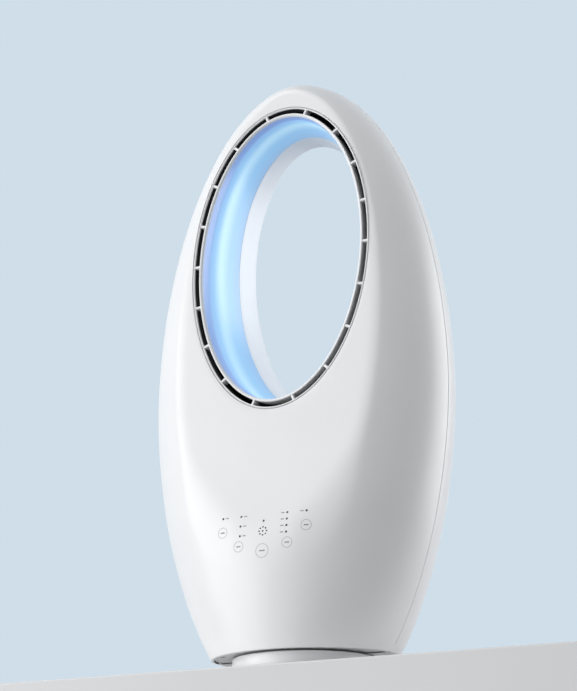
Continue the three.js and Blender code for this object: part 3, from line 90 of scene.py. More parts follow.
def make_piece(name: str, points: np.ndarray, faces: list[tuple[int, ...]],
               crease: float = 32.0) -> bpy.types.Object:
    """Make a closed mesh object from points in millimetres, its faces turned outwards.

    Args:
        name: the piece's name.
        points: an array of points, one row each.
        faces: corner indices of each face.
        crease: edges sharper than this many degrees stay sharp when shaded.

    Returns:
        The new object, linked to the scene.
    """
    volume = 0.0
    for face in faces:
        corner = points[face[0]]
        for second, third in zip(face[1:-1], face[2:]):
            volume += float(np.dot(corner, np.cross(points[second], points[third])))
    turned = [face[::-1] for face in faces] if volume < 0.0 else faces
    mesh = bpy.data.meshes.new(name)
    mesh.from_pydata((points * MM).tolist(), [], turned)
    mesh.update()
    piece = bpy.data.objects.new(name, mesh)
    bpy.context.scene.collection.objects.link(piece)
    shade(piece, crease)
    return piece


def shade(piece: bpy.types.Object, crease: float) -> None:
    """Shade a mesh smooth, but for edges sharper than crease degrees.

    Args:
        piece: the mesh object.
        crease: the angle in degrees.
    """
    piece.data.polygons.foreach_set("use_smooth", [True] * len(piece.data.polygons))
    piece.data.set_sharp_from_angle(angle=math.radians(crease))


def ring_faces(rings: int, size: int, closes: bool = True) -> list[tuple[int, ...]]:
    """Join rings of points, numbered one ring after another, by four-sided faces.

    Args:
        rings: how many rings there are.
        size: how many points each holds.
        closes: whether the last ring joins the first; if not, each end ring becomes a face.

    Returns:
        The faces as corner indices.
    """
    faces: list[tuple[int, ...]] = []
    for ring in range(rings if closes else rings - 1):
        here = ring * size
        there = ((ring + 1) % rings) * size
        for step in range(size):
            after = (step + 1) % size
            faces.append((here + step, here + after, there + after, there + step))
    if not closes:
        faces.append(tuple(reversed(range(size))))
        faces.append(tuple(range((rings - 1) * size, rings * size)))
    return faces


def stacked(rings: list[np.ndarray] | list[list[tuple[float, float, float]]]) -> Shape:
    """Join rings of points, all of one size, into a closed solid with flat ends.

    Args:
        rings: the rings in order.

    Returns:
        Points and faces.
    """
    return np.concatenate(rings), ring_faces(len(rings), len(rings[0]), closes=False)


def turned(profile: list[tuple[float, float]], steps: int = 96) -> Shape:
    """Turn a closed section about Z.

    Args:
        profile: (radius, height) corners that go round the section.
        steps: how many steps make the turn.

    Returns:
        Points and faces.
    """
    angles = np.arange(steps) / steps * TAU
    radius = np.array([corner[0] for corner in profile])
    height = np.array([corner[1] for corner in profile])
    points = np.empty((steps, len(profile), 3))
    points[..., 0] = np.outer(np.cos(angles), radius)
    points[..., 1] = np.outer(np.sin(angles), radius)
    points[..., 2] = height
    return points.reshape(-1, 3), ring_faces(steps, len(profile))


def capped(outline: np.ndarray, low: float, high: float, edge: float) -> Shape:
    """Push an outline in X and Y up into a plate whose rims are eased.

    Args:
        outline: (x, y) corners.
        low: level of the underside.
        high: level of the top.
        edge: width of the eased rim.

    Returns:
        Points and faces.
    """
    middle = outline.mean(axis=0)
    reach = np.linalg.norm(outline - middle, axis=1, keepdims=True)
    drawn_in = middle + (outline - middle) * (1.0 - edge / np.maximum(reach, edge))
    rings = [(drawn_in, low), (outline, low + edge), (outline, high - edge), (drawn_in, high)]
    return stacked([np.column_stack([ring, np.full(len(ring), level)]) for ring, level in rings])


def arc(centre: tuple[float, float], radius: float, start: float, end: float,
        steps: int) -> list[tuple[float, float]]:
    """Points along an arc, for a section.

    Args:
        centre: the arc's centre.
        radius: its radius.
        start: first angle in degrees, from the first axis.
        end: last angle in degrees.
        steps: how many stretches it has.

    Returns:
        The points in order.
    """
    angles = np.radians(np.linspace(start, end, steps + 1))
    return [(centre[0] + radius * math.cos(a), centre[1] + radius * math.sin(a)) for a in angles]


def merged(parts: list[Shape]) -> Shape:
    """Put several sets of points and faces into one.

    Args:
        parts: (points, faces) of each.

    Returns:
        All the points and all the faces.
    """
    points: list[np.ndarray] = []
    faces: list[tuple[int, ...]] = []
    start = 0
    for some_points, some_faces in parts:
        points.append(some_points)
        faces.extend(tuple(index + start for index in face) for face in some_faces)
        start += len(some_points)
    return np.concatenate(points), faces


def carve(piece: bpy.types.Object, tools: list[Shape], crease: float = 32.0) -> None:
    """Cut closed shapes out of a piece.

    Args:
        piece: what is cut; its mesh is replaced by the result.
        tools: (points, faces) of each cutting shape, which don't touch each other.
        crease: edges sharper than this many degrees stay sharp.
    """
    cutter = make_piece(piece.name + "_cutter", *merged(tools))
    modifier = piece.modifiers.new("carve", "BOOLEAN")
    modifier.operation = "DIFFERENCE"
    modifier.solver = "EXACT"
    modifier.object = cutter
    bpy.context.view_layer.update()
    evaluated = piece.evaluated_get(bpy.context.evaluated_depsgraph_get())
    result = bpy.data.meshes.new_from_object(evaluated)
    piece.modifiers.clear()
    before = piece.data
    piece.data = result
    bpy.data.meshes.remove(before)
    cutter_mesh = cutter.data
    bpy.data.objects.remove(cutter)
    bpy.data.meshes.remove(cutter_mesh)
    shade(piece, crease)


# ---------------------------------------------------------------- material tools


def linear(hex_colour: str) -> tuple[float, float, float, float]:
    """Turn an sRGB hex colour into linear red, green, blue and alpha.

    Args:
        hex_colour: such as "#F2F2F3".

    Returns:
        The linear colour.
    """
    channels = [int(hex_colour[i:i + 2], 16) / 255.0 for i in (1, 3, 5)]
    red, green, blue = (c / 12.92 if c <= 0.04045 else ((c + 0.055) / 1.055) ** 2.4 for c in channels)
    return red, green, blue, 1.0


def add_node(tree: bpy.types.NodeTree, kind: str, settings: dict | None = None,
             inputs: dict | None = None) -> bpy.types.Node:
    """Add a node with its settings, its input values and its links.

    Args:
        tree: the node tree.
        kind: the node's type name.
        settings: the node's own properties.
        inputs: input name or number to a value, or to the output that feeds it.

    Returns:
        The new node.
    """
    node = tree.nodes.new(kind)
    for name, value in (settings or {}).items():
        setattr(node, name, value)
    for name, value in (inputs or {}).items():
        if isinstance(value, bpy.types.NodeSocket):
            tree.links.new(value, node.inputs[name])
        else:
            node.inputs[name].default_value = value
    return node


def set_ramp(node: bpy.types.Node, stops: list[tuple[float, tuple[float, float, float, float]]]) -> None:
    """Fill a colour ramp.

    Args:
        node: the ramp's node.
        stops: (position, linear colour) in order.
    """
    elements = node.color_ramp.elements
    while len(elements) < len(stops):
        elements.new(0.5)
    for element, (position, colour) in zip(elements, stops):
        element.position = position
        element.color = colour


def new_tree(name: str) -> tuple[bpy.types.Material, bpy.types.NodeTree, bpy.types.NodeSocket]:
    """Start a material with an empty tree but for its output.

    Args:
        name: the material's name.

    Returns:
        The material, its tree, and the output's surface socket.
    """
    material = bpy.data.materials.new(name)
    material.use_nodes = True
    tree = material.node_tree
    tree.nodes.clear()
    output = add_node(tree, "ShaderNodeOutputMaterial")
    return material, tree, output.inputs["Surface"]


def per_metre(spacing_mm: float) -> float:
    """How many times a pattern of this spacing repeats in a metre."""
    return 1.0 / (spacing_mm * MM)


# ---------------------------------------------------------------- finishes


@dataclass(frozen=True)
class MouldedPlastic:
    """Injection-moulded plastic. The mould's surface gives the grain, and the flow a faint drift of tone.

    A polished mould leaves only a long, shallow ripple in the gloss; a spark-eroded one leaves a
    fine even tooth that breaks the highlight up.
    """

    name: str
    colour: str
    drift: str                      # the tone that the colour wanders towards
    roughness: float
    grain_mm: float                 # spacing of the mould's texture
    grain_depth_mm: float
    ior: float = 1.53
    drift_mm: float = 70.0

    def build(self) -> bpy.types.Material:
        """Make the material.

        Returns:
            The material.
        """
        material, tree, surface = new_tree(self.name)
        place = add_node(tree, "ShaderNodeTexCoord").outputs["Object"]
        flow = add_node(tree, "ShaderNodeTexNoise", inputs={
            "Vector": place, "Scale": per_metre(self.drift_mm), "Detail": 2.0})
        tone = add_node(tree, "ShaderNodeMix", {"data_type": "RGBA"}, {
            "Factor": flow.outputs["Fac"], "A": linear(self.colour), "B": linear(self.drift)})
        gloss = add_node(tree, "ShaderNodeMapRange", inputs={
            "Value": flow.outputs["Fac"], "To Min": self.roughness * 0.9, "To Max": self.roughness * 1.12})
        grain = add_node(tree, "ShaderNodeTexNoise", inputs={
            "Vector": place, "Scale": per_metre(self.grain_mm), "Detail": 3.0, "Roughness": 0.55})
        relief = add_node(tree, "ShaderNodeBump", inputs={
            "Strength": 1.0, "Distance": self.grain_depth_mm * MM, "Height": grain.outputs["Fac"]})
        shader = add_node(tree, "ShaderNodeBsdfPrincipled", inputs={
            "Base Color": tone.outputs["Result"], "Roughness": gloss.outputs["Result"], "IOR": self.ior,
            "Normal": relief.outputs["Normal"]})
        tree.links.new(shader.outputs["BSDF"], surface)
        return material


@dataclass(frozen=True)
class LitOpal:
    """Opal polycarbonate lit from behind by a strip of blue-white lamps.

    The pigment scatters the light, so the channel is palest over the lamps and turns cyan and then violet-blue
    towards its rims; where the wall is seen at a grazing angle its glow is dimmed to the pale skin, as painted
    reflection.
    """

    name: str
    unlit: str
    painted_glow_skin: str                   # painted glow: the skin's colour where the lamps are on, turned blue to stand for their light
    rims: tuple[tuple[float, str], ...]    # share of the channel's depth to the colour of its light
    strength: float
    roughness: float
    cloud_mm: float = 45.0          # size of the pigment's clouds
    cloud_reach: float = 0.025      # how far they shift the colours, as a share of the depth

    def build(self) -> bpy.types.Material:
        """Make the material.

        Returns:
            The material.
        """
        material, tree, surface = new_tree(self.name)
        depth = add_node(tree, "ShaderNodeAttribute", {"attribute_name": "channel_depth"})
        # The lamps' power, dimmed where a pale grazing reflection is painted.
        power = add_node(tree, "ShaderNodeAttribute", {"attribute_name": "lamp_power_with_painted_dims"})
        place = add_node(tree, "ShaderNodeTexCoord").outputs["Object"]
        cloud = add_node(tree, "ShaderNodeTexNoise", inputs={
            "Vector": place, "Scale": per_metre(self.cloud_mm), "Detail": 1.0})
        unevenness = add_node(tree, "ShaderNodeMapRange", inputs={
            "Value": cloud.outputs["Fac"], "To Min": -self.cloud_reach, "To Max": self.cloud_reach})
        across = add_node(tree, "ShaderNodeMath", {"operation": "ADD"}, {
            0: depth.outputs["Fac"], 1: unevenness.outputs["Result"]})
        light = add_node(tree, "ShaderNodeValToRGB", inputs={"Fac": across.outputs["Value"]})
        light.color_ramp.interpolation = "EASE"
        set_ramp(light, [(share, linear(colour)) for share, colour in self.rims])
        glow = add_node(tree, "ShaderNodeMath", {"operation": "MULTIPLY"}, {
            0: power.outputs["Fac"], 1: self.strength})
        # Painted glow: the base colour goes from the unlit skin to the blue painted-glow skin as the lamps'
        # power rises.
        skin = add_node(tree, "ShaderNodeMix", {"data_type": "RGBA"}, {
            "Factor": power.outputs["Fac"], "A": linear(self.unlit), "B": linear(self.painted_glow_skin)})
        shader = add_node(tree, "ShaderNodeBsdfPrincipled", inputs={
            "Base Color": skin.outputs["Result"], "Roughness": self.roughness, "IOR": 1.58,
            "Emission Color": light.outputs["Color"], "Emission Strength": glow.outputs["Value"]})
        tree.links.new(shader.outputs["BSDF"], surface)
        return material


@dataclass(frozen=True)
class PlatedSteel:
    """Sheet or turned steel, zinc plated: a soft grey gloss with faint drawn lines and cloudy spangle."""

    name: str
    colour: str
    roughness: float
    line_mm: float                  # spacing of the drawn lines
    line_depth_mm: float = 0.004
    line_stretch: float = 0.06      # how much slower the lines change along the drawing than across it
    spangle_mm: float = 7.0

    def build(self) -> bpy.types.Material:
        """Make the material.

        Returns:
            The material.
        """
        material, tree, surface = new_tree(self.name)
        place = add_node(tree, "ShaderNodeTexCoord").outputs["Object"]
        drawn = add_node(tree, "ShaderNodeMapping", inputs={
            "Vector": place, "Scale": (1.0, self.line_stretch, 1.0)})
        lines = add_node(tree, "ShaderNodeTexNoise", inputs={
            "Vector": drawn.outputs["Vector"], "Scale": per_metre(self.line_mm), "Detail": 2.0})
        spangle = add_node(tree, "ShaderNodeTexVoronoi", inputs={
            "Vector": place, "Scale": per_metre(self.spangle_mm)})
        gloss = add_node(tree, "ShaderNodeMapRange", inputs={
            "Value": spangle.outputs["Distance"],
            "To Min": self.roughness * 0.85, "To Max": self.roughness * 1.2})
        relief = add_node(tree, "ShaderNodeBump", inputs={
            "Distance": self.line_depth_mm * MM, "Height": lines.outputs["Fac"]})
        shader = add_node(tree, "ShaderNodeBsdfPrincipled", inputs={
            "Base Color": linear(self.colour), "Metallic": 1.0, "Roughness": gloss.outputs["Result"],
            "Normal": relief.outputs["Normal"]})
        tree.links.new(shader.outputs["BSDF"], surface)
        return material


@dataclass(frozen=True)
class MouldedRubber:
    """Compression-moulded rubber: dull black, with a fine pebble and a grey bloom in the hollows."""

    name: str
    colour: str
    bloom: str
    pebble_mm: float
    pebble_depth_mm: float = 0.08
    bloom_mm: float = 18.0
    roughness: float = 0.82

    def build(self) -> bpy.types.Material:
        """Make the material.

        Returns:
            The material.
        """
        material, tree, surface = new_tree(self.name)
        place = add_node(tree, "ShaderNodeTexCoord").outputs["Object"]
        pebble = add_node(tree, "ShaderNodeTexVoronoi", inputs={
            "Vector": place, "Scale": per_metre(self.pebble_mm)})
        dust = add_node(tree, "ShaderNodeTexNoise", inputs={
            "Vector": place, "Scale": per_metre(self.bloom_mm), "Detail": 4.0})
        tone = add_node(tree, "ShaderNodeMix", {"data_type": "RGBA"}, {
            "Factor": dust.outputs["Fac"], "A": linear(self.colour), "B": linear(self.bloom)})
        relief = add_node(tree, "ShaderNodeBump", inputs={
            "Distance": self.pebble_depth_mm * MM, "Height": pebble.outputs["Distance"]})
        shader = add_node(tree, "ShaderNodeBsdfPrincipled", inputs={
            "Base Color": tone.outputs["Result"], "Roughness": self.roughness, "IOR": 1.52,
            "Normal": relief.outputs["Normal"]})
        tree.links.new(shader.outputs["BSDF"], surface)
        return material


@dataclass(frozen=True)
class CircuitLaminate:
    """Glass-epoxy laminate under a solder mask: glossy, with paler tracks just proud of the board."""

    name: str
    mask: str
    track: str
    track_mm: float
    track_depth_mm: float = 0.035
    track_edge: float = 0.42        # distance from a cell's middle at which its track begins
    roughness: float = 0.28

    def build(self) -> bpy.types.Material:
        """Make the material.

        Returns:
            The material.
        """
        material, tree, surface = new_tree(self.name)
        place = add_node(tree, "ShaderNodeTexCoord").outputs["Object"]
        cells = add_node(tree, "ShaderNodeTexVoronoi", {"distance": "CHEBYCHEV", "feature": "F1"}, {
            "Vector": place, "Scale": per_metre(self.track_mm), "Randomness": 0.6})
        edge = add_node(tree, "ShaderNodeMath", {"operation": "GREATER_THAN"}, {
            0: cells.outputs["Distance"], 1: self.track_edge})
        tone = add_node(tree, "ShaderNodeMix", {"data_type": "RGBA"}, {
            "Factor": edge.outputs["Value"], "A": linear(self.mask), "B": linear(self.track)})
        relief = add_node(tree, "ShaderNodeBump", inputs={
            "Distance": self.track_depth_mm * MM, "Height": edge.outputs["Value"]})
        shader = add_node(tree, "ShaderNodeBsdfPrincipled", inputs={
            "Base Color": tone.outputs["Result"], "Roughness": self.roughness, "IOR": 1.55,
            "Normal": relief.outputs["Normal"]})
        tree.links.new(shader.outputs["BSDF"], surface)
        return material


class Finishes:
    """Every finish of the fan, each made once."""

    def __init__(self) -> None:
        """Make the materials."""
        # ABS from a polished mould: a clean, even white whose highlights stay soft and slightly
        # rippled. The ripple is 9 mm long, and drawn a little deeper than the real one so that it shows.
        self.shell = MouldedPlastic("white_abs_polished", "#F1F1F2", "#EBEBEC", 0.33, 9.0, 0.006).build()
        # ABS from a spark-eroded mould: the same white, but matt. Its tooth is 0.1 mm; here it is 0.7 mm.
        self.satin = MouldedPlastic("white_abs_spark_eroded", "#E9E9EA", "#E2E2E3", 0.52, 0.7, 0.03).build()
        # Painted shade: a near-black matt finish laid on the casing's inner side, the duct, the slot's outer
        # wall and the walls of drilled holes, where little light reaches; the casing itself is white inside.
        self.painted_shade = MouldedPlastic("near_black_painted_shade", "#0C0D0F", "#131416", 0.9, 0.9, 0.05).build()
        # Opal polycarbonate over the light strip: it glows of itself, milky, with no lamp to be seen.
        self.opal = LitOpal(
            "opal_polycarbonate_lit", "#DADDE2", "#6E93B4",
            ((0.0, "#7B8ECB"), (0.12, "#7690CF"), (0.32, "#88BCE6"),
             (0.55, "#BEE7F8"), (0.8, "#93C3E6"), (1.0, "#97B6D6")),
            0.62, 0.3).build()
        # Unfilled polypropylene for the blower: waxy grey with slow flow marks.
        self.blower = MouldedPlastic(
            "grey_polypropylene_moulded", "#7E8387", "#74797D", 0.48, 1.6, 0.02, 1.49).build()
        # Glass-filled nylon for the impeller: near black, dull, with a sandy surface from the fibres.
        self.nylon = MouldedPlastic(
            "black_glass_filled_nylon", "#17181A", "#202224", 0.62, 0.6, 0.03, 1.53, 25.0).build()
        # Acetal for what slides and meshes: natural white, a little waxy and translucent.
        self.acetal = MouldedPlastic(
            "natural_acetal_moulded", "#E9E6DC", "#E2DFD4", 0.4, 2.5, 0.01, 1.48).build()
        # Smoked polycarbonate for the lamp pins: black and glossy until its lamp lights.
        self.smoked = MouldedPlastic(
            "smoked_polycarbonate_pins", "#26282B", "#2C2E31", 0.22, 4.0, 0.003, 1.58).build()
        # Pad-printed ink round the touch keys: a thin flat grey film, slightly uneven in tone.
        self.ink = MouldedPlastic("grey_pad_print_ink", "#AEB0B2", "#A5A7AA", 0.55, 0.5, 0.01).build()
        # The same ink laid on thicker, for the labels.
        self.label_ink = MouldedPlastic(
            "dark_grey_pad_print_ink", "#828487", "#7A7C7F", 0.55, 0.5, 0.01).build()
        # Moulded rubber for the foot pad, the gland and the dampers: dull black with a greyish bloom.
        self.rubber = MouldedRubber("black_rubber_moulded", "#1B1C1D", "#2A2B2C", 0.9).build()
        # Zinc on turned steel, drawn wire and pressed plate: soft metallic greys, the plate the darkest.
        self.steel = PlatedSteel("zinc_plated_steel", "#B9BDC2", 0.34, 0.8).build()
        self.spring = PlatedSteel("drawn_spring_wire_steel", "#A7AAAE", 0.28, 0.4).build()
        self.ballast = PlatedSteel("black_oxide_pressed_steel", "#6D6F72", 0.5, 1.5).build()
        # Laminate for the boards, green and glossy, and for the light strip, white.
        self.board = CircuitLaminate("green_solder_mask_laminate", "#14532F", "#2B7A4B", 2.2).build()
        self.flex = CircuitLaminate("white_flex_laminate", "#E6E4DC", "#F1EFE8", 5.0).build()


# ---------------------------------------------------------------- forms that the pieces share


class Side(Enum):
    """Which way a half of the casing faces along Y."""

    FRONT = -1.0
    REAR = 1.0


@dataclass(frozen=True)
class EggForm:
    """The body: a tall egg that two leaning planes flatten in front and behind.

    Below the opening the front plane flares forward and runs out into the egg.
    """

    top_z: float = 600.0
    widest_z: float = 274.0
    deepest_z: float = 150.0
    skirt_z: float = 15.0
    half_width: float = 157.5
    half_depth: float = 95.0
    lower_reach: float = 328.0
    upper_fullness: float = 1.925
    lower_fullness: float = 1.815
    depth_fullness: float = 1.2
    upper_depth_power: float = 0.3
    lower_depth_power: float = 0.2
    facet_y: float = 93.0
    facet_tilt: float = math.radians(5.6)
    flare_z: float = 240.0
    flare_rate: float = 0.0006
    crease_soft: tuple[float, float] = (30.0, 6.0)
    crease_levels: tuple[float, float] = (90.0, 220.0)
    crease_soft_middle: float = 0.35
    wall: float = 2.6
    seam_y: float = -6.0

    def width_at(self, z: np.ndarray, inset: float) -> np.ndarray:
        """Half the egg's width at a level.

        Args:
            z: the levels.
            inset: how far inside the outer form.

        Returns:
            The half widths.
        """
        above = z > self.widest_z
        reach = np.where(above, self.top_z - self.widest_z, self.lower_reach) - inset
        share = np.minimum(np.abs(z - self.widest_z) / reach, 1.0)
        fullness = np.where(above, self.upper_fullness, self.lower_fullness)
        return (self.half_width - inset) * np.sqrt(1.0 - share ** fullness)

    def depth_at(self, z: np.ndarray, inset: float) -> np.ndarray:
        """Half the egg's depth at a level, before the planes flatten it.

        Args:
            z: the levels.
            inset: how far inside the outer form.

        Returns:
            The half depths.
        """
        above = z > self.deepest_z
        lowest = self.widest_z - self.lower_reach
        reach = np.where(above, self.top_z - self.deepest_z, self.deepest_z - lowest) - inset
        share = np.minimum(np.abs(z - self.deepest_z) / reach, 1.0)
        power = np.where(above, self.upper_depth_power, self.lower_depth_power)
        return (self.half_depth - inset) * (1.0 - share ** self.depth_fullness) ** power

    def facet_at(self, z: np.ndarray, inset: float = 0.0) -> np.ndarray:
        """Distance of the flattening planes from the middle plane.

        Args:
            z: the levels.
            inset: how far inside the outer form.

        Returns:
            The distances.
        """
        return self.facet_y - z * math.tan(self.facet_tilt) - inset / math.cos(self.facet_tilt)

    def reach_at(self, angle: np.ndarray, z: np.ndarray, inset: float, flares: np.ndarray | bool) -> np.ndarray:
        """Distance of the surface from the upright axis, the planes' borders rounded.

        Args:
            angle: counted from the front or the rear towards the side.
            z: the levels.
            inset: how far inside the outer form.
            flares: whether the plane here is the front one, which flares.

        Returns:
            The distances.
        """
        width = self.width_at(z, inset)
        depth = self.depth_at(z, inset)
        side, front = np.sin(angle), np.cos(angle)
        egg = width * depth / np.maximum(np.hypot(depth * side, width * front), TINY)
        flare = self.flare_rate * np.maximum(self.flare_z - z, 0.0) ** 2
        facet = (self.facet_at(z, inset) + flare * flares) / np.maximum(np.abs(front), TINY)
        low, high = self.crease_levels
        share = np.clip((z - low) / (high - low), 0.0, 1.0)
        share = share * share * (3.0 - 2.0 * share)
        softness = self.crease_soft[0] + (self.crease_soft[1] - self.crease_soft[0]) * share
        softness = softness * np.maximum(np.abs(side), self.crease_soft_middle)
        blend = np.clip(0.5 + 0.5 * (facet - egg) / softness, 0.0, 1.0)
        return facet + (egg - facet) * blend - softness * blend * (1.0 - blend)

    def depth_of_surface(self, x: np.ndarray, z: np.ndarray, inset: float, side: Side) -> np.ndarray:
        """How far the surface lies from the middle plane, seen straight from the front or the rear.

        Args:
            x: places across.
            z: levels.
            inset: how far inside the outer form.
            side: from which of the two it is seen.

        Returns:
            The distances, 0 outside the body's outline.
        """
        across = np.abs(x)
        low = np.zeros_like(across)
        high = np.full_like(across, math.pi / 2.0)
        for _ in range(36):
            middle = 0.5 * (low + high)
            inside = self.reach_at(middle, z, inset, side is Side.FRONT) * np.sin(middle) < across
            low = np.where(inside, middle, low)
            high = np.where(inside, high, middle)
        angle = 0.5 * (low + high)
        depth = self.reach_at(angle, z, inset, side is Side.FRONT) * np.cos(angle)
        return np.where(across < self.width_at(z, inset), depth, 0.0)

    def section(self, z: float, inset: float, steps: int) -> np.ndarray:
        """Outline of the body at one level.

        Args:
            z: the level.
            inset: how far inside the outer form.
            steps: how many corners.

        Returns:
            (x, y) corners.
        """
        angle = np.arange(steps) / steps * TAU
        reach = self.reach_at(angle, np.full(steps, z), inset, np.cos(angle) > 0.0)
        return np.column_stack([reach * np.sin(angle), -reach * np.cos(angle)])

    def on_facet(self, points: np.ndarray, side: Side = Side.FRONT) -> np.ndarray:
        """Carry points from a flat panel, whose Y is depth and Z runs up, onto a flattening plane.

        Args:
            points: places on the panel.
            side: the front or the rear plane.

        Returns:
            The points in the fan's frame.
        """
        cosine, sine = math.cos(self.facet_tilt), math.sin(self.facet_tilt)
        depth = points[:, 1] * cosine + points[:, 2] * sine - self.facet_y
        height = points[:, 2] * cosine - points[:, 1] * sine
        return np.column_stack([points[:, 0], -side.value * depth, height])


@dataclass(frozen=True)
class OvalOpening:
    """The oval hole through the upper body and the lines that run round it."""

    form: EggForm
    centre_z: float = 407.499
    half_width: float = 93.2
    half_height: float = 157.3
    taper: float = 15.0
    slot_middle: float = -0.8
    slot_half: float = 2.5
    outer_lip: float = 1.5
    inner_lip: float = 3.2
    reveal: float = 0.8
    band_end: float = 0.65
    steps: int = 288

    @property
    def slot_outer(self) -> float:
        """Offset of the slot's outer wall."""
        return self.slot_middle + self.slot_half

    @property
    def slot_inner(self) -> float:
        """Offset of the slot's inner wall."""
        return self.slot_middle - self.slot_half

    @property
    def lip_outer(self) -> float:
        """Offset of the nozzle's outer rim."""
        return self.slot_outer + self.outer_lip

    @property
    def lip_inner(self) -> float:
        """Offset of the nozzle's inner rim."""
        return self.slot_inner - self.inner_lip

    def angles(self) -> np.ndarray:
        """Even angles round the oval."""
        return np.arange(self.steps) / self.steps * TAU

    def points(self, angle: np.ndarray, share: np.ndarray, push: np.ndarray, offset: np.ndarray) -> np.ndarray:
        """Points of the opening's wall.

        Args:
            angle: counted from the top towards +X.
            share: 0 on the front plane to 1 on the rear one.
            push: millimetres further back.
            offset: millimetres outwards from the ribs' line.

        Returns:
            The points, one row each in the last axis.
        """
        high = self.half_height * math.cos(self.form.facet_tilt)
        sine, cosine = np.sin(angle), np.cos(angle)
        length = np.hypot(high * sine, self.half_width * cosine)
        reach = offset - self.taper * share
        x = self.half_width * sine + high * sine / length * reach
        z = self.centre_z + high * cosine + self.half_width * cosine / length * reach
        y = (2.0 * share - 1.0) * self.form.facet_at(z) + push
        return np.stack(np.broadcast_arrays(x, y, z), axis=-1)

    def sweep(self, section: list[tuple[float, float, float]]) -> Shape:
        """Carry a closed section of (share, push, offset) round the oval.

        Args:
            section: the section's corners in order.

        Returns:
            Points and faces.
        """
        share, push, offset = (np.array(column) for column in zip(*section))
        points = self.points(self.angles()[:, None], share, push, offset)
        return points.reshape(-1, 3), ring_faces(self.steps, len(section))

    def wall_offset(self, share: float) -> float:
        """Offset of the visible wall, from the inner lip in front to the rear oval."""
        return self.lip_inner * (1.0 - share)

    def even_angles(self, count: int) -> np.ndarray:
        """Angles that cut the front oval into equal stretches, half a stretch off the top.

        Args:
            count: how many stretches.

        Returns:
            The angles.
        """
        fine = np.linspace(0.0, TAU, 2881)
        line = self.points(fine, np.zeros(1), np.zeros(1), np.zeros(1))
        length = np.concatenate([[0.0], np.cumsum(np.linalg.norm(np.diff(line, axis=0), axis=1))])
        return np.interp((np.arange(count) + 0.5) / count * length[-1], length, fine)


# ---------------------------------------------------------------- the casing


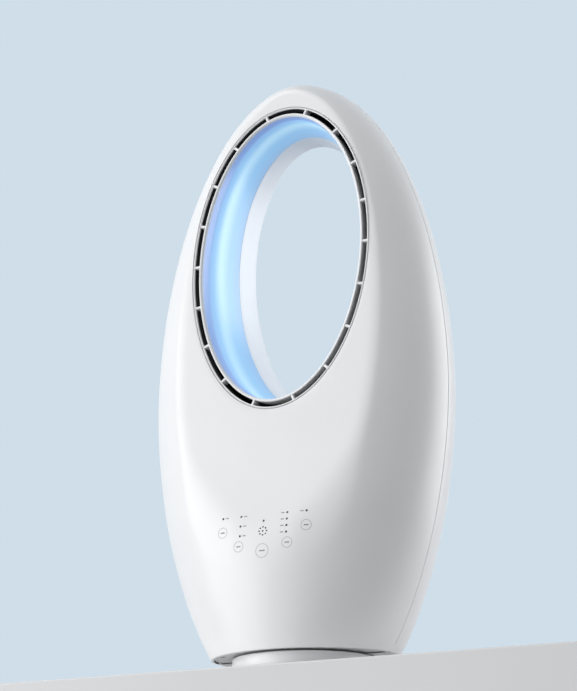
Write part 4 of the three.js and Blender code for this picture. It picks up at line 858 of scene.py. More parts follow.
@dataclass
class Casing:
    """The two halves of the egg-shaped casing, the floor under them and the intake grille."""

    form: EggForm
    opening: OvalOpening
    rows: int = 64
    corner_steps: int = 36
    side_steps: int = 208
    edge: float = 0.5                        # rounding of the mouth's and the parting edges
    rim_round: float = 7.0                   # rounding of the opening's rear edge
    collar_thick: float = 2.2
    collar_flange: float = 9.0
    lamp_hole: float = 1.1
    sound_hole: float = 0.8
    drill: tuple[float, float] = (-2.0, 6.0)             # depths between which the panel's holes are cut
    screw_well: float = 3.2
    screw_well_y: float = 14.0
    screw_well_wall: float = 1.6
    screw_well_cut: tuple[float, float] = (30.0, 110.0)  # from inside the rear wall to behind the fan
    intake_bevel: tuple[float, float] = (0.6, 3.0)       # the intake hole's bevel, and the cutter's reach
    grille_up: float = 150.0
    grille_radius: float = 56.0
    grille_recess: float = 2.2
    grille_thick: float = 2.4
    grille_rim: float = 4.0
    grille_pitch: float = 9.0
    grille_bar: float = 4.4
    grille_spine: float = 5.0
    grille_rows: int = 12
    floor_z: float = 16.5
    floor_thick: float = 3.6
    floor_bore: float = 20.5
    screw_sink: float = 1.7

    def mouth_angles(self) -> np.ndarray:
        """Space out angles round the opening, closest together where their rays meet the skirt's corners.

        Returns:
            The angles in order.
        """
        corner_x = float(self.form.width_at(np.array([self.form.skirt_z]), 0.0)[0])
        down = (self.form.skirt_z - self.opening.centre_z) / self.opening.half_height
        corner = math.atan2(corner_x / self.opening.half_width, down)
        half = math.pi - corner
        eased = np.sin(np.arange(self.corner_steps) / self.corner_steps * math.pi / 2.0)
        low_right = math.pi - half * eased[::-1]
        low_left = math.pi + half * eased[1:]
        sides = np.linspace(TAU - corner, TAU + corner, self.side_steps + 1)
        return np.concatenate([low_right, low_left, sides[:-1]])

    def border(self, mouth: np.ndarray, inset: float, plane: float, skirt: float, side: Side) -> np.ndarray:
        """Where rays from the opening's centre through its mouth leave the half shell's outline.

        Args:
            mouth: (x, z) of the mouth at each angle.
            inset: how far inside the outer form.
            plane: distance from the middle plane of the plane that ends the half shell.
            skirt: level of the lower edge.
            side: on which side of the middle plane that plane lies.

        Returns:
            (x, z) at each angle.
        """
        centre = np.array([0.0, self.opening.centre_z])
        ray = mouth - centre
        ray = ray / np.linalg.norm(ray, axis=1, keepdims=True)
        low = np.zeros(len(ray))
        high = np.full(len(ray), 2.0 * self.form.top_z)
        for _ in range(40):
            middle = 0.5 * (low + high)
            place = centre + ray * middle[:, None]
            deep = self.form.depth_of_surface(place[:, 0], place[:, 1], inset, side) > plane
            inside = deep & (place[:, 1] > skirt) & (place[:, 1] < self.form.top_z - inset)
            low = np.where(inside, middle, low)
            high = np.where(inside, high, middle)
        return centre + ray * low[:, None]

    def skin(self, mouth: np.ndarray, border: np.ndarray, inset: float, side: Side) -> np.ndarray:
        """Rows of surface points from the mouth out to a border.

        Args:
            mouth: (x, z) where the rows start.
            border: (x, z) where they end.
            inset: how far inside the outer form.
            side: the half that is made.

        Returns:
            Points as rows by angles.
        """
        even = np.linspace(0.0, 1.0, self.rows)
        share = (1.0 - (1.0 - even) ** 2)[:, None, None]
        flat = mouth + (border - mouth) * share
        x, z = flat[..., 0], flat[..., 1]
        y = self.form.depth_of_surface(x, z, inset, side) * side.value
        return np.stack([x, y, z], axis=-1)

    def line(self, flat: np.ndarray, y: float) -> np.ndarray:
        """One row of points at a fixed distance from the middle plane."""
        return np.column_stack([flat[:, 0], np.full(len(flat), y), flat[:, 1]])[None]

    def wall_rows(self, angles: np.ndarray, section: list[tuple[float, float, float]]) -> np.ndarray:
        """Rows of points of the opening's wall.

        Args:
            angles: the angles round the opening.
            section: (share, push, offset) of each row.

        Returns:
            Points as rows by angles.
        """
        return np.stack([
            self.opening.points(angles, np.array([s]), np.array([p]), np.array([o])) for s, p, o in section])

    def front(self) -> bpy.types.Object:
        """Make the front half, with its mouth, before its holes are cut.

        Returns:
            The half shell.
        """
        angles = self.mouth_angles()
        edge = self.edge
        rim = self.opening.lip_outer + self.opening.reveal
        rounded = [(0.0, edge + p, rim + edge + o) for o, p in arc((0.0, 0.0), edge, 180.0, 270.0, 4)]
        mouth = self.wall_rows(angles, [(0.0, self.form.wall, rim)] + rounded)
        outer_mouth = mouth[-1][:, [0, 2]]
        inner_mouth = mouth[0][:, [0, 2]]
        plane = -self.form.seam_y + FIT / 2.0
        outer_border = self.border(outer_mouth, 0.0, plane + edge, self.form.skirt_z + edge, Side.FRONT)
        edge_border = self.border(outer_mouth, edge, plane, self.form.skirt_z, Side.FRONT)
        inner_border = self.border(outer_mouth, self.form.wall, plane, self.form.skirt_z, Side.FRONT)
        outer = self.skin(outer_mouth, outer_border, 0.0, Side.FRONT)
        parting = self.skin(outer_mouth, edge_border, edge, Side.FRONT)[-1:]
        inner = self.skin(inner_mouth, inner_border, self.form.wall, Side.FRONT)[::-1]
        rows = np.concatenate([mouth[:-1], outer, parting, inner[:-1]])
        piece = make_piece("front_casing", rows.reshape(-1, 3), ring_faces(len(rows), len(angles)))
        self.paint_inner_shade(piece, len(mouth) - 1 + self.rows + 1, len(rows), len(angles))
        return piece

    def rear(self) -> bpy.types.Object:
        """Make the rear half, with the wall band and its rounded edge, before its holes are cut.

        Returns:
            The half shell.
        """
        angles = self.mouth_angles()
        edge, rim, opening = self.edge, self.rim_round, self.opening
        band = opening.wall_offset(opening.band_end)
        start = (opening.band_end, FIT / 2.0)
        rounded = [(1.0, p - rim, rim + o) for o, p in arc((0.0, 0.0), rim, 180.0, 90.0, 12)]
        wall = self.wall_rows(angles, [
            (start[0], start[1] + edge, band), (0.8, 0.0, opening.wall_offset(0.8))] + rounded)
        outer_mouth = wall[-1][:, [0, 2]]
        skirt, plane = self.form.skirt_z, -self.form.seam_y - FIT / 2.0
        outline = self.border(outer_mouth, 0.0, 0.0, skirt + edge, Side.REAR)
        outer = self.skin(outer_mouth, outline, 0.0, Side.REAR)
        past_middle = [
            self.line(self.border(outer_mouth, 0.0, y, skirt + edge, Side.FRONT), -y)
            for y in (plane / 2.0, plane - edge)]
        parting = self.line(self.border(outer_mouth, edge, plane, skirt, Side.FRONT), -plane)
        inner_line = self.line(self.border(outer_mouth, self.form.wall, plane, skirt, Side.FRONT), -plane)
        inner_outline = self.border(outer_mouth, self.form.wall, 0.0, skirt, Side.REAR)
        inner = self.skin(outer_mouth, inner_outline, self.form.wall, Side.REAR)[::-1]
        collar = self.wall_rows(angles, [
            (1.0, -rim, self.collar_thick),
            (start[0], start[1] + self.collar_thick, band + self.collar_thick),
            (start[0], start[1] + self.collar_thick, band + self.collar_flange),
            (start[0], start[1], band + self.collar_flange),
            (start[0], start[1], band + edge)])
        rows = np.concatenate([wall[:-1], outer, *past_middle, parting, inner_line, inner, collar])
        piece = make_piece("rear_casing", rows.reshape(-1, 3), ring_faces(len(rows), len(angles)))
        self.paint_inner_shade(piece, len(wall) + self.rows + 3, len(rows), len(angles))
        return piece

    def paint_inner_shade(self, piece: bpy.types.Object, first_row: int, row_count: int, size: int) -> None:
        """Give the faces of the casing's inner side the second material, a painted shade: the real shell is
        white inside.

        Args:
            piece: the half shell.
            first_row: the first row of points on the inner side.
            row_count: how many rows there are.
            size: how many points a row holds.
        """
        for face in piece.data.polygons:
            rows = [index // size for index in face.vertices]
            if min(rows) >= first_row and max(rows) < row_count:
                face.material_index = 1

    def carve_panel(self, piece: bpy.types.Object, panel: "TouchPanel") -> None:
        """Drill the lamp holes and the sound holes.

        Args:
            piece: the front half.
            panel: where the holes go.
        """
        holes = [(x, up, self.lamp_hole) for x, up in panel.lamps()]
        holes += [(x, up, self.sound_hole) for x, up in panel.sound_holes()]
        tools, axes = [], []
        for x, up, radius in holes:
            circle = radius * np.exp(1j * np.arange(20) / 20 * TAU)
            points, faces = stacked([
                np.column_stack([circle.real + x, np.full(20, y), circle.imag + up]) for y in self.drill])
            tools.append((panel.on_surface(points), faces))
            start, end = panel.on_surface(np.array([(x, y, up) for y in self.drill]))
            axes.append((start, (end - start) / np.linalg.norm(end - start), radius))
        carve(piece, tools)
        self.darken_bores(piece, axes)

    def darken_bores(self, piece: bpy.types.Object, axes: list[tuple[np.ndarray, np.ndarray, float]]) -> None:
        """Give the walls of drilled holes the second material, a painted shade, as no light gets into the real
        ones.

        Args:
            piece: the drilled half.
            axes: a point on each hole's axis, the axis' direction and the hole's radius.
        """
        flat = np.empty(3 * len(piece.data.vertices))
        piece.data.vertices.foreach_get("co", flat)
        places = flat.reshape(-1, 3) / MM
        on_wall = np.zeros(len(places), dtype=bool)
        for start, along, radius in axes:
            away = np.linalg.norm(np.cross(places - start, along), axis=1)
            on_wall |= np.abs(away - radius) < 0.02 * radius
        for face in piece.data.polygons:
            if on_wall[list(face.vertices)].all():
                face.material_index = 1

    def screw_places(self) -> list[tuple[float, float]]:
        """Places across and up of the casing's screws, from their solids."""
        boxes = [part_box(f"shell_screw_{number}") for number in range(1, 5)]
        return [((low.x + high.x) / 2.0 / MM, (low.z + high.z) / 2.0 / MM) for low, high in boxes]

    def carve_rear(self, piece: bpy.types.Object) -> None:
        """Open the intake hole and the four screw wells in the rear half.

        Args:
            piece: the rear half.
        """
        steps = 96
        circle = np.exp(1j * np.arange(steps) / steps * TAU)
        radius = self.grille_radius + FIT
        rings = []
        bevel, past = self.intake_bevel
        for grow, depth in ((past, -past), (bevel, 0.0), (0.0, bevel), (0.0, 4.0 * past)):
            ring = circle * (radius + grow)
            rings.append(np.column_stack([ring.real, np.full(steps, depth), ring.imag + self.grille_up]))
        points, faces = stacked(rings)
        tools = [(self.form.on_facet(points, Side.REAR), faces)]
        for x, z in self.screw_places():
            ring = self.screw_well * np.exp(1j * np.arange(32) / 32 * TAU)
            tools.append(stacked([
                np.column_stack([ring.real + x, np.full(32, y), ring.imag + z]) for y in self.screw_well_cut]))
        carve(piece, tools)

    def screw_tubes(self) -> bpy.types.Object:
        """Make the tubes that lead from the wells to the screws.

        Returns:
            The four tubes as one piece.
        """
        parts = []
        bore, outside = self.screw_well, self.screw_well + self.screw_well_wall
        for x, z in self.screw_places():
            far = np.array([abs(x) + outside])
            depth = float(self.form.depth_of_surface(far, np.array([z]), self.form.wall, Side.REAR)[0])
            points, faces = turned(
                [(bore, self.screw_well_y), (outside, self.screw_well_y), (outside, depth), (bore, depth)], 32)
            parts.append((np.column_stack([points[:, 0] + x, points[:, 2], points[:, 1] + z]), faces))
        return make_piece("screw_wells", *merged(parts))

    def floor(self) -> bpy.types.Object:
        """Make the body's floor, with the bush's bore and the sunk seats of its screws.

        Returns:
            The floor.
        """
        outline = self.form.section(self.floor_z, self.form.wall + FIT, 192)
        top = self.floor_z + self.floor_thick
        piece = make_piece("body_floor_plate", *capped(outline, self.floor_z, top, 0.4))
        tools = [turned_plug(self.floor_bore, self.floor_z - 1.0, top + 1.0)]
        for number in range(1, 5):
            low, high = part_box(f"floor_screw_{number}")
            middle = ((low.x + high.x) / 2.0 / MM, (low.y + high.y) / 2.0 / MM)
            tools.append(turned_plug(
                self.screw_well, self.floor_z - 1.0, self.floor_z + self.screw_sink, middle))
        carve(piece, tools)
        return piece

    def grille(self) -> bpy.types.Object:
        """Make the intake grille: a rounded rim, a spine and rows of bars.

        Returns:
            The grille.
        """
        inner = self.grille_radius - self.grille_rim
        low, high = self.grille_recess, self.grille_recess + self.grille_thick
        ease = 0.7
        points, faces = turned([
            (inner, -high), (self.grille_radius, -high), (self.grille_radius, -low - ease),
            (self.grille_radius - ease, -low), (inner + ease, -low), (inner, -low - ease)], 128)
        parts = [(np.column_stack([points[:, 0], -points[:, 2], points[:, 1] + self.grille_up]), faces)]
        for row in range(self.grille_rows + 1):
            height = (row - self.grille_rows / 2.0) * self.grille_pitch
            reach = math.sqrt(max(inner * inner - height * height, 0.0))
            if reach > self.grille_pitch:
                parts.append(self.bar(-reach - 1.0, reach + 1.0, height, self.grille_bar, ease))
        parts.append(self.bar(-inner - 1.0, inner + 1.0, 0.0, self.grille_spine, ease, upright=True))
        points, faces = merged(parts)
        return make_piece("rear_intake_grille", self.form.on_facet(points, Side.REAR), faces)

    def bar(self, start: float, end: float, middle: float, width: float, ease: float,
            upright: bool = False) -> Shape:
        """One straight bar of the grille with eased front edges.

        Args:
            start: where it begins along its length.
            end: where it ends.
            middle: its place across.
            width: how wide it is.
            ease: rounding of its outer edges.
            upright: whether it runs up instead of across.

        Returns:
            Points and faces.
        """
        low, high, half = self.grille_recess, self.grille_recess + self.grille_thick, width / 2.0
        section = [(-half, high), (half, high), (half, low + ease)]
        section += [(half - ease + s, low + ease - d) for s, d in arc((0.0, 0.0), ease, 20.0, 90.0, 3)]
        section += [(-half + ease - s, low + ease - d) for s, d in arc((0.0, 0.0), ease, 90.0, 20.0, 3)]
        section.append((-half, low + ease))
        rings = []
        for along in (start, end):
            if upright:
                rings.append([(across + middle, depth, along + self.grille_up) for across, depth in section])
            else:
                rings.append([(along, depth, across + middle + self.grille_up) for across, depth in section])
        return stacked(rings)


def turned_plug(radius: float, low: float, high: float, centre: tuple[float, float] = (0.0, 0.0)) -> Shape:
    """A plain round plug along Z that cuts a hole.

    Args:
        radius: the hole's radius.
        low: level where it starts.
        high: level where it ends.
        centre: its place in X and Y.

    Returns:
        Points and faces.
    """
    circle = radius * np.exp(1j * np.arange(64) / 64 * TAU)
    across, along = circle.real + centre[0], circle.imag + centre[1]
    return stacked([np.column_stack([across, along, np.full(64, z)]) for z in (low, high)])


# ---------------------------------------------------------------- nozzle and light


@dataclass
class Nozzle:
    """The ring that the air leaves by: two lips, the slot between them, and its ribs."""

    opening: OvalOpening
    depth: float = 12.0
    lip_depth: float = 2.9
    wall: float = 1.5
    flange: float = 3.5
    flange_thick: float = 2.0
    flange_start: float = 2.9
    lip_round: float = 0.7
    rib_count: int = 18
    rib_thick: float = 2.7
    rib_set_back: float = 0.4
    rib_depth: float = 10.0
    rib_nose: float = 0.8                    # rounding of a rib's front
    rib_sunk: float = 0.6                    # how far a rib runs into each lip
    shade_from: float = 1.8                  # depth from which the slot's outer wall is painted dark, a painted shade

    def build(self) -> bpy.types.Object:
        """Make the ring with its ribs.

        Returns:
            The ring.
        """
        o, r = self.opening, self.lip_round
        back = self.flange_start + self.flange_thick
        outer = [(0.0, push, o.slot_outer) for push in (self.depth, self.shade_from, r)]
        outer += [(0.0, r - p, o.slot_outer + r - q) for q, p in arc((0.0, 0.0), r, 0.0, 90.0, 4)][1:]
        outer += [(0.0, r - p, o.lip_outer - r + q) for q, p in arc((0.0, 0.0), r, 90.0, 0.0, 4)]
        outer += [
            (0.0, self.flange_start, o.lip_outer), (0.0, self.flange_start, o.lip_outer + self.flange),
            (0.0, back, o.lip_outer + self.flange), (0.0, back, o.slot_outer + self.wall),
            (0.0, self.depth, o.slot_outer + self.wall)]
        inner = [(0.0, self.depth, o.slot_inner), (0.0, r, o.slot_inner)]
        inner += [(0.0, r - p, o.slot_inner - r + q) for q, p in arc((0.0, 0.0), r, 0.0, 90.0, 4)][1:]
        roll = self.lip_depth * 0.8
        inner += [(0.0, roll - p, o.lip_inner + roll - q) for q, p in arc((0.0, 0.0), roll, 90.0, 0.0, 8)]
        inner += [
            (0.0, self.lip_depth, o.lip_inner), (0.0, self.lip_depth, o.slot_inner - self.wall),
            (0.0, self.depth, o.slot_inner - self.wall)]
        parts = [o.sweep(outer), o.sweep(inner)]
        parts += [self.rib(angle) for angle in o.even_angles(self.rib_count)]
        piece = make_piece("nozzle_with_ribs", *merged(parts), crease=40.0)
        # The first face of each step of the outer sweep is the slot's outer wall behind its lip; its dark finish
        # is painted shade.
        for step in range(o.steps):
            piece.data.polygons[step * len(outer)].material_index = 1
        return piece

    def rib(self, angle: float) -> Shape:
        """One rib, a small bridge with a rounded front that joins the lips.

        Args:
            angle: its place round the oval.

        Returns:
            Points and faces.
        """
        o, half = self.opening, self.rib_thick / 2.0
        here = np.array([angle, angle + 1e-3])
        line = o.points(here, np.zeros(1), np.zeros(1), np.zeros(1))
        along = (line[1] - line[0]) / np.linalg.norm(line[1] - line[0])
        nose, front = self.rib_nose, self.rib_set_back + self.rib_nose
        section = [(-half, self.rib_depth), (half, self.rib_depth)]
        section += [(half - nose + s, front - d) for s, d in arc((0.0, 0.0), nose, 0.0, 90.0, 3)]
        section += [(-half + nose - s, front - d) for s, d in arc((0.0, 0.0), nose, 90.0, 0.0, 3)]
        across, push = (np.array(column) for column in zip(*section))
        return stacked([
            o.points(np.full(1, angle), np.zeros(1), push, np.full(1, offset)) + along * across[:, None]
            for offset in (o.slot_inner - self.rib_sunk, o.slot_outer + self.rib_sunk)])


@dataclass
class LightBand:
    """The lit wall inside the opening."""

    opening: OvalOpening
    start_depth: float = 12.0
    front_push: float = 3.2
    hollow: float = 3.5
    thick: float = 1.3
    rows: int = 28
    fades: tuple[tuple[float, float], ...] = ((38.0, 22.0), (160.0, 20.0))   # degrees: middle, half reach; painted reflection: dims in the glow where the wall is seen at a grazing angle
    fade_floor: float = 0.1

    def build(self) -> bpy.types.Object:
        """Make the band and mark on its points its depth and the lamps' power, with the painted-reflection dims.

        Returns:
            The band.
        """
        o = self.opening
        start = self.start_depth / (2.0 * float(o.form.facet_at(np.array([o.centre_z]))[0]))
        visible = [(0.0, self.front_push, o.lip_inner)]
        for row in range(self.rows + 1):
            step = row / self.rows
            share = start + (o.band_end - start) * step
            push = -FIT / 2.0 if row == self.rows else 0.0
            visible.append((share, push, o.wall_offset(share) + self.hollow * math.sin(math.pi * step)))
        hidden = [(share, push, offset + self.thick) for share, push, offset in reversed(visible)]
        section = visible + hidden
        piece = make_piece("lit_band", *o.sweep(section), crease=50.0)
        depth = np.array([share / o.band_end for share, _, _ in section])
        angles = np.degrees(o.angles())
        power = np.ones(len(angles))
        # Painted reflection: dim the glow over two stretches where the wall is seen at a grazing angle.
        for middle, reach in self.fades:
            away = np.abs((angles - middle + 180.0) % 360.0 - 180.0) / reach
            dip = np.clip(1.0 - away, 0.0, 1.0)
            dip = dip * dip * (3.0 - 2.0 * dip)
            power *= 1.0 - (1.0 - self.fade_floor) * dip
        mark(piece, "channel_depth", np.tile(depth, len(angles)))
        mark(piece, "lamp_power_with_painted_dims", np.repeat(power, len(section)))
        return piece


def mark(piece: bpy.types.Object, name: str, values: np.ndarray) -> None:
    """Store a number on each point of a mesh for its material.

    Args:
        piece: the mesh object.
        name: the attribute's name.
        values: one number for each point.
    """
    attribute = piece.data.attributes.new(name, "FLOAT", "POINT")
    attribute.data.foreach_set("value", values.astype(np.float32))


# ---------------------------------------------------------------- touch panel


@dataclass
class TouchPanel:
    """Lamps, sound holes and the printed rings of the touch keys, low on the front plane."""

    form: EggForm
    forward: float = 6.5                     # the panel's flat frame lies this much in front of the plane
    middle_key: tuple[float, float, float] = (0.0, 105.9, 6.5)
    inner_key: tuple[float, float, float] = (25.5, 111.9, 5.0)
    outer_key: tuple[float, float, float] = (44.0, 127.4, 5.0)
    column_x: float = 24.3
    lamp_top: float = 141.2
    left_lamps: tuple[int, float] = (3, 9.6)
    right_lamps: tuple[int, float] = (4, 6.4)
    middle_lamp: float = 134.9
    sound_up: float = 124.9
    sound_circle: float = 3.9
    sound_count: int = 8
    line_width: float = 0.45
    film: float = 0.05
    key_label: tuple[float, float] = (0.9, 1.1)          # length as a share of the key's radius, height
    lamp_label: tuple[float, float] = (3.4, 0.9)         # length, height
    lamp_label_off: float = 4.6
    pin_radius: float = 0.95
    pin_proud: tuple[float, float] = (0.15, 0.25)        # its shoulder over the casing, its dome over that
    guide_back: float = 14.7
    guide_thick: float = 2.0
    guide_bar: float = 7.0
    guide_play: float = 0.05                             # keeps the faces of the crossing bars apart

    def lamps(self) -> list[tuple[float, float]]:
        """Find the places of the lamps.

        Returns:
            Each place, across and up.
        """
        side = self.outer_key[0]
        places = [(-side, self.lamp_top), (side, self.lamp_top), (0.0, self.middle_lamp)]
        count, pitch = self.left_lamps
        places += [(-self.column_x, self.lamp_top - row * pitch) for row in range(count)]
        count, pitch = self.right_lamps
        places += [(self.column_x, self.lamp_top - row * pitch) for row in range(count)]
        return places

    def sound_holes(self) -> list[tuple[float, float]]:
        """Places of the sound holes, across and up."""
        circle = self.sound_circle * np.exp(1j * np.arange(self.sound_count) / self.sound_count * TAU)
        return [(0.0, self.sound_up)] + [(float(p.imag), self.sound_up + float(p.real)) for p in circle]

    def keys(self) -> list[tuple[float, float, float]]:
        """Place and radius of each key."""
        return [self.middle_key] + [
            (side * x, up, radius) for x, up, radius in (self.inner_key, self.outer_key) for side in (-1.0, 1.0)]

    def on_panel(self, points: np.ndarray) -> np.ndarray:
        """Carry points from the panel's flat frame, whose Y is depth and Z runs up, into the fan's frame.

        Args:
            points: places on the panel.

        Returns:
            The points in the fan's frame.
        """
        return self.form.on_facet(points) - np.array([0.0, self.forward, 0.0])

    def surface_depth(self, x: np.ndarray, up: np.ndarray) -> np.ndarray:
        """How far the casing's outer surface lies behind the panel's flat frame.

        Args:
            x: places across.
            up: places up.

        Returns:
            The depths, negative where the surface lies in front.
        """
        depth = np.zeros_like(x)
        for _ in range(3):
            places = self.on_panel(np.column_stack([x, depth, up]))
            surface = -self.form.depth_of_surface(places[:, 0], places[:, 2], 0.0, Side.FRONT)
            depth = depth + (surface - places[:, 1]) / math.cos(self.form.facet_tilt)
        return depth

    def on_surface(self, points: np.ndarray) -> np.ndarray:
        """Carry points onto the casing, their depths counted from its curved surface.

        Args:
            points: places on the panel.

        Returns:
            The points in the fan's frame.
        """
        depth = points[:, 1] + self.surface_depth(points[:, 0], points[:, 2])
        return self.on_panel(np.column_stack([points[:, 0], depth, points[:, 2]]))

    def facing(self, shape: Shape, x: float, up: float) -> np.ndarray:
        """Turn a shape made about Z so that its Z points out of the panel.

        Args:
            shape: points and faces.
            x: place across.
            up: place up the panel.

        Returns:
            Its points in the panel's flat frame.
        """
        points = shape[0]
        return np.column_stack([points[:, 0] + x, -points[:, 2], points[:, 1] + up])

    def strip(self, x: float, up: float, length: float, height: float,
              depths: tuple[float, float]) -> np.ndarray:
        """Corners of a small flat bar in the panel's flat frame.

        Args:
            x: its middle across.
            up: its middle up.
            length: how long it is across.
            height: how tall it is.
            depths: where it starts and ends.

        Returns:
            The corners, as two rings of four.
        """
        a, b = length / 2.0, height / 2.0
        corners = [(-a, -b), (a, -b), (a, b), (-a, b)]
        return np.array([(across + x, depth, high + up) for depth in depths for across, high in corners])

    def print_marks(self) -> bpy.types.Object:
        """Make the key rings, and plain bars for the labels, as films of ink.

        Returns:
            The films as one piece, the bars in its second material.
        """
        half, film = self.line_width / 2.0, (-self.film, self.film)
        bar_faces = ring_faces(2, 4, closes=False)
        rings, bars = [], []
        for x, up, radius in self.keys():
            inner, outer = radius - half, radius + half
            ring = turned([(inner, film[0]), (outer, film[0]), (outer, film[1]), (inner, film[1])], 72)
            rings.append((self.on_surface(self.facing(ring, x, up)), ring[1]))
            bar = self.strip(x, up, radius * self.key_label[0], self.key_label[1], film)
            bars.append((self.on_surface(bar), bar_faces))
        for x, up in self.lamps():
            if x != 0.0:
                bar = self.strip(x - math.copysign(self.lamp_label_off, x), up, *self.lamp_label, film)
                bars.append((self.on_surface(bar), bar_faces))
        piece = make_piece("panel_print", *merged(rings + bars))
        for face in piece.data.polygons[-len(bars) * len(bar_faces):]:
            face.material_index = 1
        return piece

    def light_guide(self) -> bpy.types.Object:
        """Make the smoked moulding whose pins fill the lamp holes.

        Returns:
            The light guide.
        """
        parts = []
        radius, (shoulder, rise) = self.pin_radius, self.pin_proud
        back = -self.guide_back + 2.0 * FIT
        bar_faces = ring_faces(2, 4, closes=False)
        for x, up in self.lamps():
            level = shoulder - float(self.surface_depth(np.array([x]), np.array([up]))[0])
            dome = [
                (radius * math.cos(a), level + rise * math.sin(a)) for a in np.linspace(0.0, math.pi / 2.2, 5)]
            pin = turned([(AXIS, back), (radius, back)] + dome + [(AXIS, dome[-1][1])], 24)
            parts.append((self.on_panel(self.facing(pin, x, up)), pin[1]))
        depths = (self.guide_back - self.guide_thick, self.guide_back)
        span = 2.0 * self.outer_key[0] + self.guide_bar
        parts.append((self.on_panel(self.strip(0.0, self.lamp_top, span, self.guide_bar, depths)), bar_faces))
        lows = (self.lamp_top - (self.right_lamps[0] - 1) * self.right_lamps[1], self.middle_lamp)
        for x, low in ((-self.column_x, lows[0]), (self.column_x, lows[0]), (0.0, lows[1])):
            middle, height = (self.lamp_top + low) / 2.0 - 1.0, self.lamp_top - low + 2.0
            play = self.guide_play
            leg = self.strip(x, middle, self.guide_bar * 0.98, height, (depths[0] + play, depths[1] - play))
            parts.append((self.on_panel(leg), bar_faces))
        return make_piece("indicator_light_guide", *merged(parts))


# ---------------------------------------------------------------- base and screws


@dataclass
class Base:
    """What is seen of the low round base: its cover, foot pad and cord gland."""

    radius: float = 70.0
    low_z: float = 1.9
    top_z: float = 14.2
    wall: float = 2.5
    bore: float = 16.6
    edge: float = 1.5
    pad_radius: float = 62.0
    pad_thick: float = 1.6
    pad_draft: float = 0.4                   # how much narrower the pad is underneath
    hub: float = 0.05                        # radius of the pinhole on its axis
    gland_z: float = 8.15
    gland_radius: float = 3.8
    gland_flange: float = 5.0
    gland_flange_thick: float = 1.4
    gland_bore: float = 2.6
    tread_rings: int = 5
    tread_start: float = 6.0                 # from the pad's rim to the first groove
    tread_pitch: float = 8.0
    tread: tuple[float, float, float] = (2.2, 0.3, 0.5)      # of a groove: width, slope of its sides, depth

    def cover(self) -> bpy.types.Object:
        """Make the base's cover, its rims rounded, with the gland's hole.

        Returns:
            The cover.
        """
        r, e = self.radius, self.edge
        under = self.top_z - self.wall
        section = [(self.bore, under), (r - self.wall, under), (r - self.wall, self.low_z)]
        section += [(r - e + a, self.low_z + e + b) for a, b in arc((0.0, 0.0), e, 270.0, 360.0, 5)]
        section += [(r - e + a, self.top_z - e + b) for a, b in arc((0.0, 0.0), e, 0.0, 90.0, 5)]
        section.append((self.bore, self.top_z))
        piece = make_piece("base_cap", *turned(section, 192))
        points, faces = turned_plug(self.gland_radius + FIT, r - 20.0, r + 20.0)
        carve(piece, [(np.column_stack([points[:, 0], points[:, 2], points[:, 1] + self.gland_z]), faces)])
        return piece

    def foot_pad(self) -> bpy.types.Object:
        """Make the rubber pad with its shallow tread of rings.

        Returns:
            The pad.
        """
        r, high = self.pad_radius, self.pad_thick
        section = [(self.hub, high), (r, high), (r - self.pad_draft, 0.0)]
        width, slope, deep = self.tread
        for ring in range(self.tread_rings):
            outer = r - self.tread_start - ring * self.tread_pitch
            inner = outer - width
            section += [(outer, 0.0), (outer - slope, deep), (inner + slope, deep), (inner, 0.0)]
        section.append((self.hub, 0.0))
        return make_piece("rubber_foot_pad", *turned(section, 128))

    def gland(self) -> bpy.types.Object:
        """Make the rubber gland in the base's rear wall, with its flared mouth.

        Returns:
            The gland.
        """
        outside = self.radius + FIT
        end = outside + self.gland_flange_thick
        start = outside - self.wall - 2.0 * FIT - self.gland_flange_thick
        ease = 0.5
        section = [
            (self.gland_bore, start), (self.gland_radius, start), (self.gland_radius, outside),
            (self.gland_flange, outside), (self.gland_flange, end - ease), (self.gland_flange - ease, end),
            (self.gland_bore + ease, end), (self.gland_bore, end - ease)]
        points, faces = turned(section, 48)
        points = np.column_stack([points[:, 0], points[:, 2], points[:, 1] + self.gland_z])
        return make_piece("rubber_cord_gland", points, faces)


@dataclass
class Screws:
    """Pan-head screws with a cross recess, at each place where the solids have one."""

    head_radius: float = 2.9
    head_thick: float = 1.4
    shank_radius: float = 1.5
    recess_reach: float = 1.6
    recess_width: float = 0.6
    recess_depth: float = 0.8
    thread_pitch: float = 1.1
    thread_depth: float = 0.35
    thread_start: float = 0.5                # below the head
    tip: float = 0.4

    def build(self, name: str, node: str, axis: Vector) -> bpy.types.Object:
        """Make one screw in its solid's place.

        Args:
            name: the piece's name.
            node: the solid that it stands for.
            axis: from the shank towards the head.

        Returns:
            The screw.
        """
        low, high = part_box(node)
        size = (high - low) / MM
        length = max(size)
        top = self.head_thick
        head, shank, pitch = self.head_radius, self.shank_radius, self.thread_pitch
        root = shank - self.thread_depth
        section = [(AXIS, top), (head * 0.55, top * 0.97), (head * 0.85, top * 0.72), (head, top * 0.35)]
        section += [(head, 0.0), (shank, 0.0)]
        depth = length - top
        for turn in range(int((depth - 3.0 * self.thread_start) / pitch)):
            level = -self.thread_start - turn * pitch
            section += [(shank, level), (root, level - pitch / 2.0)]
        section += [(root, -depth + self.tip), (AXIS, -depth)]
        piece = make_piece(name, *turned(section, 32))
        reach, half = self.recess_reach, self.recess_width / 2.0
        outline = np.array([
            (-reach, -half), (-half, -half), (-half, -reach), (half, -reach), (half, -half), (reach, -half),
            (reach, half), (half, half), (half, reach), (-half, reach), (-half, half), (-reach, half)])
        levels = (top - self.recess_depth, top + 1.0)
        carve(piece, [stacked([np.column_stack([outline, np.full(len(outline), level)]) for level in levels])])
        middle = (low + high) / 2.0
        reach_out = axis * (length * MM / 2.0 - top * MM)
        turn_to = Vector((0.0, 0.0, 1.0)).rotation_difference(axis).to_matrix().to_4x4()
        piece.data.transform(Matrix.Translation(middle + reach_out) @ turn_to)
        return piece


# ---------------------------------------------------------------- assembly


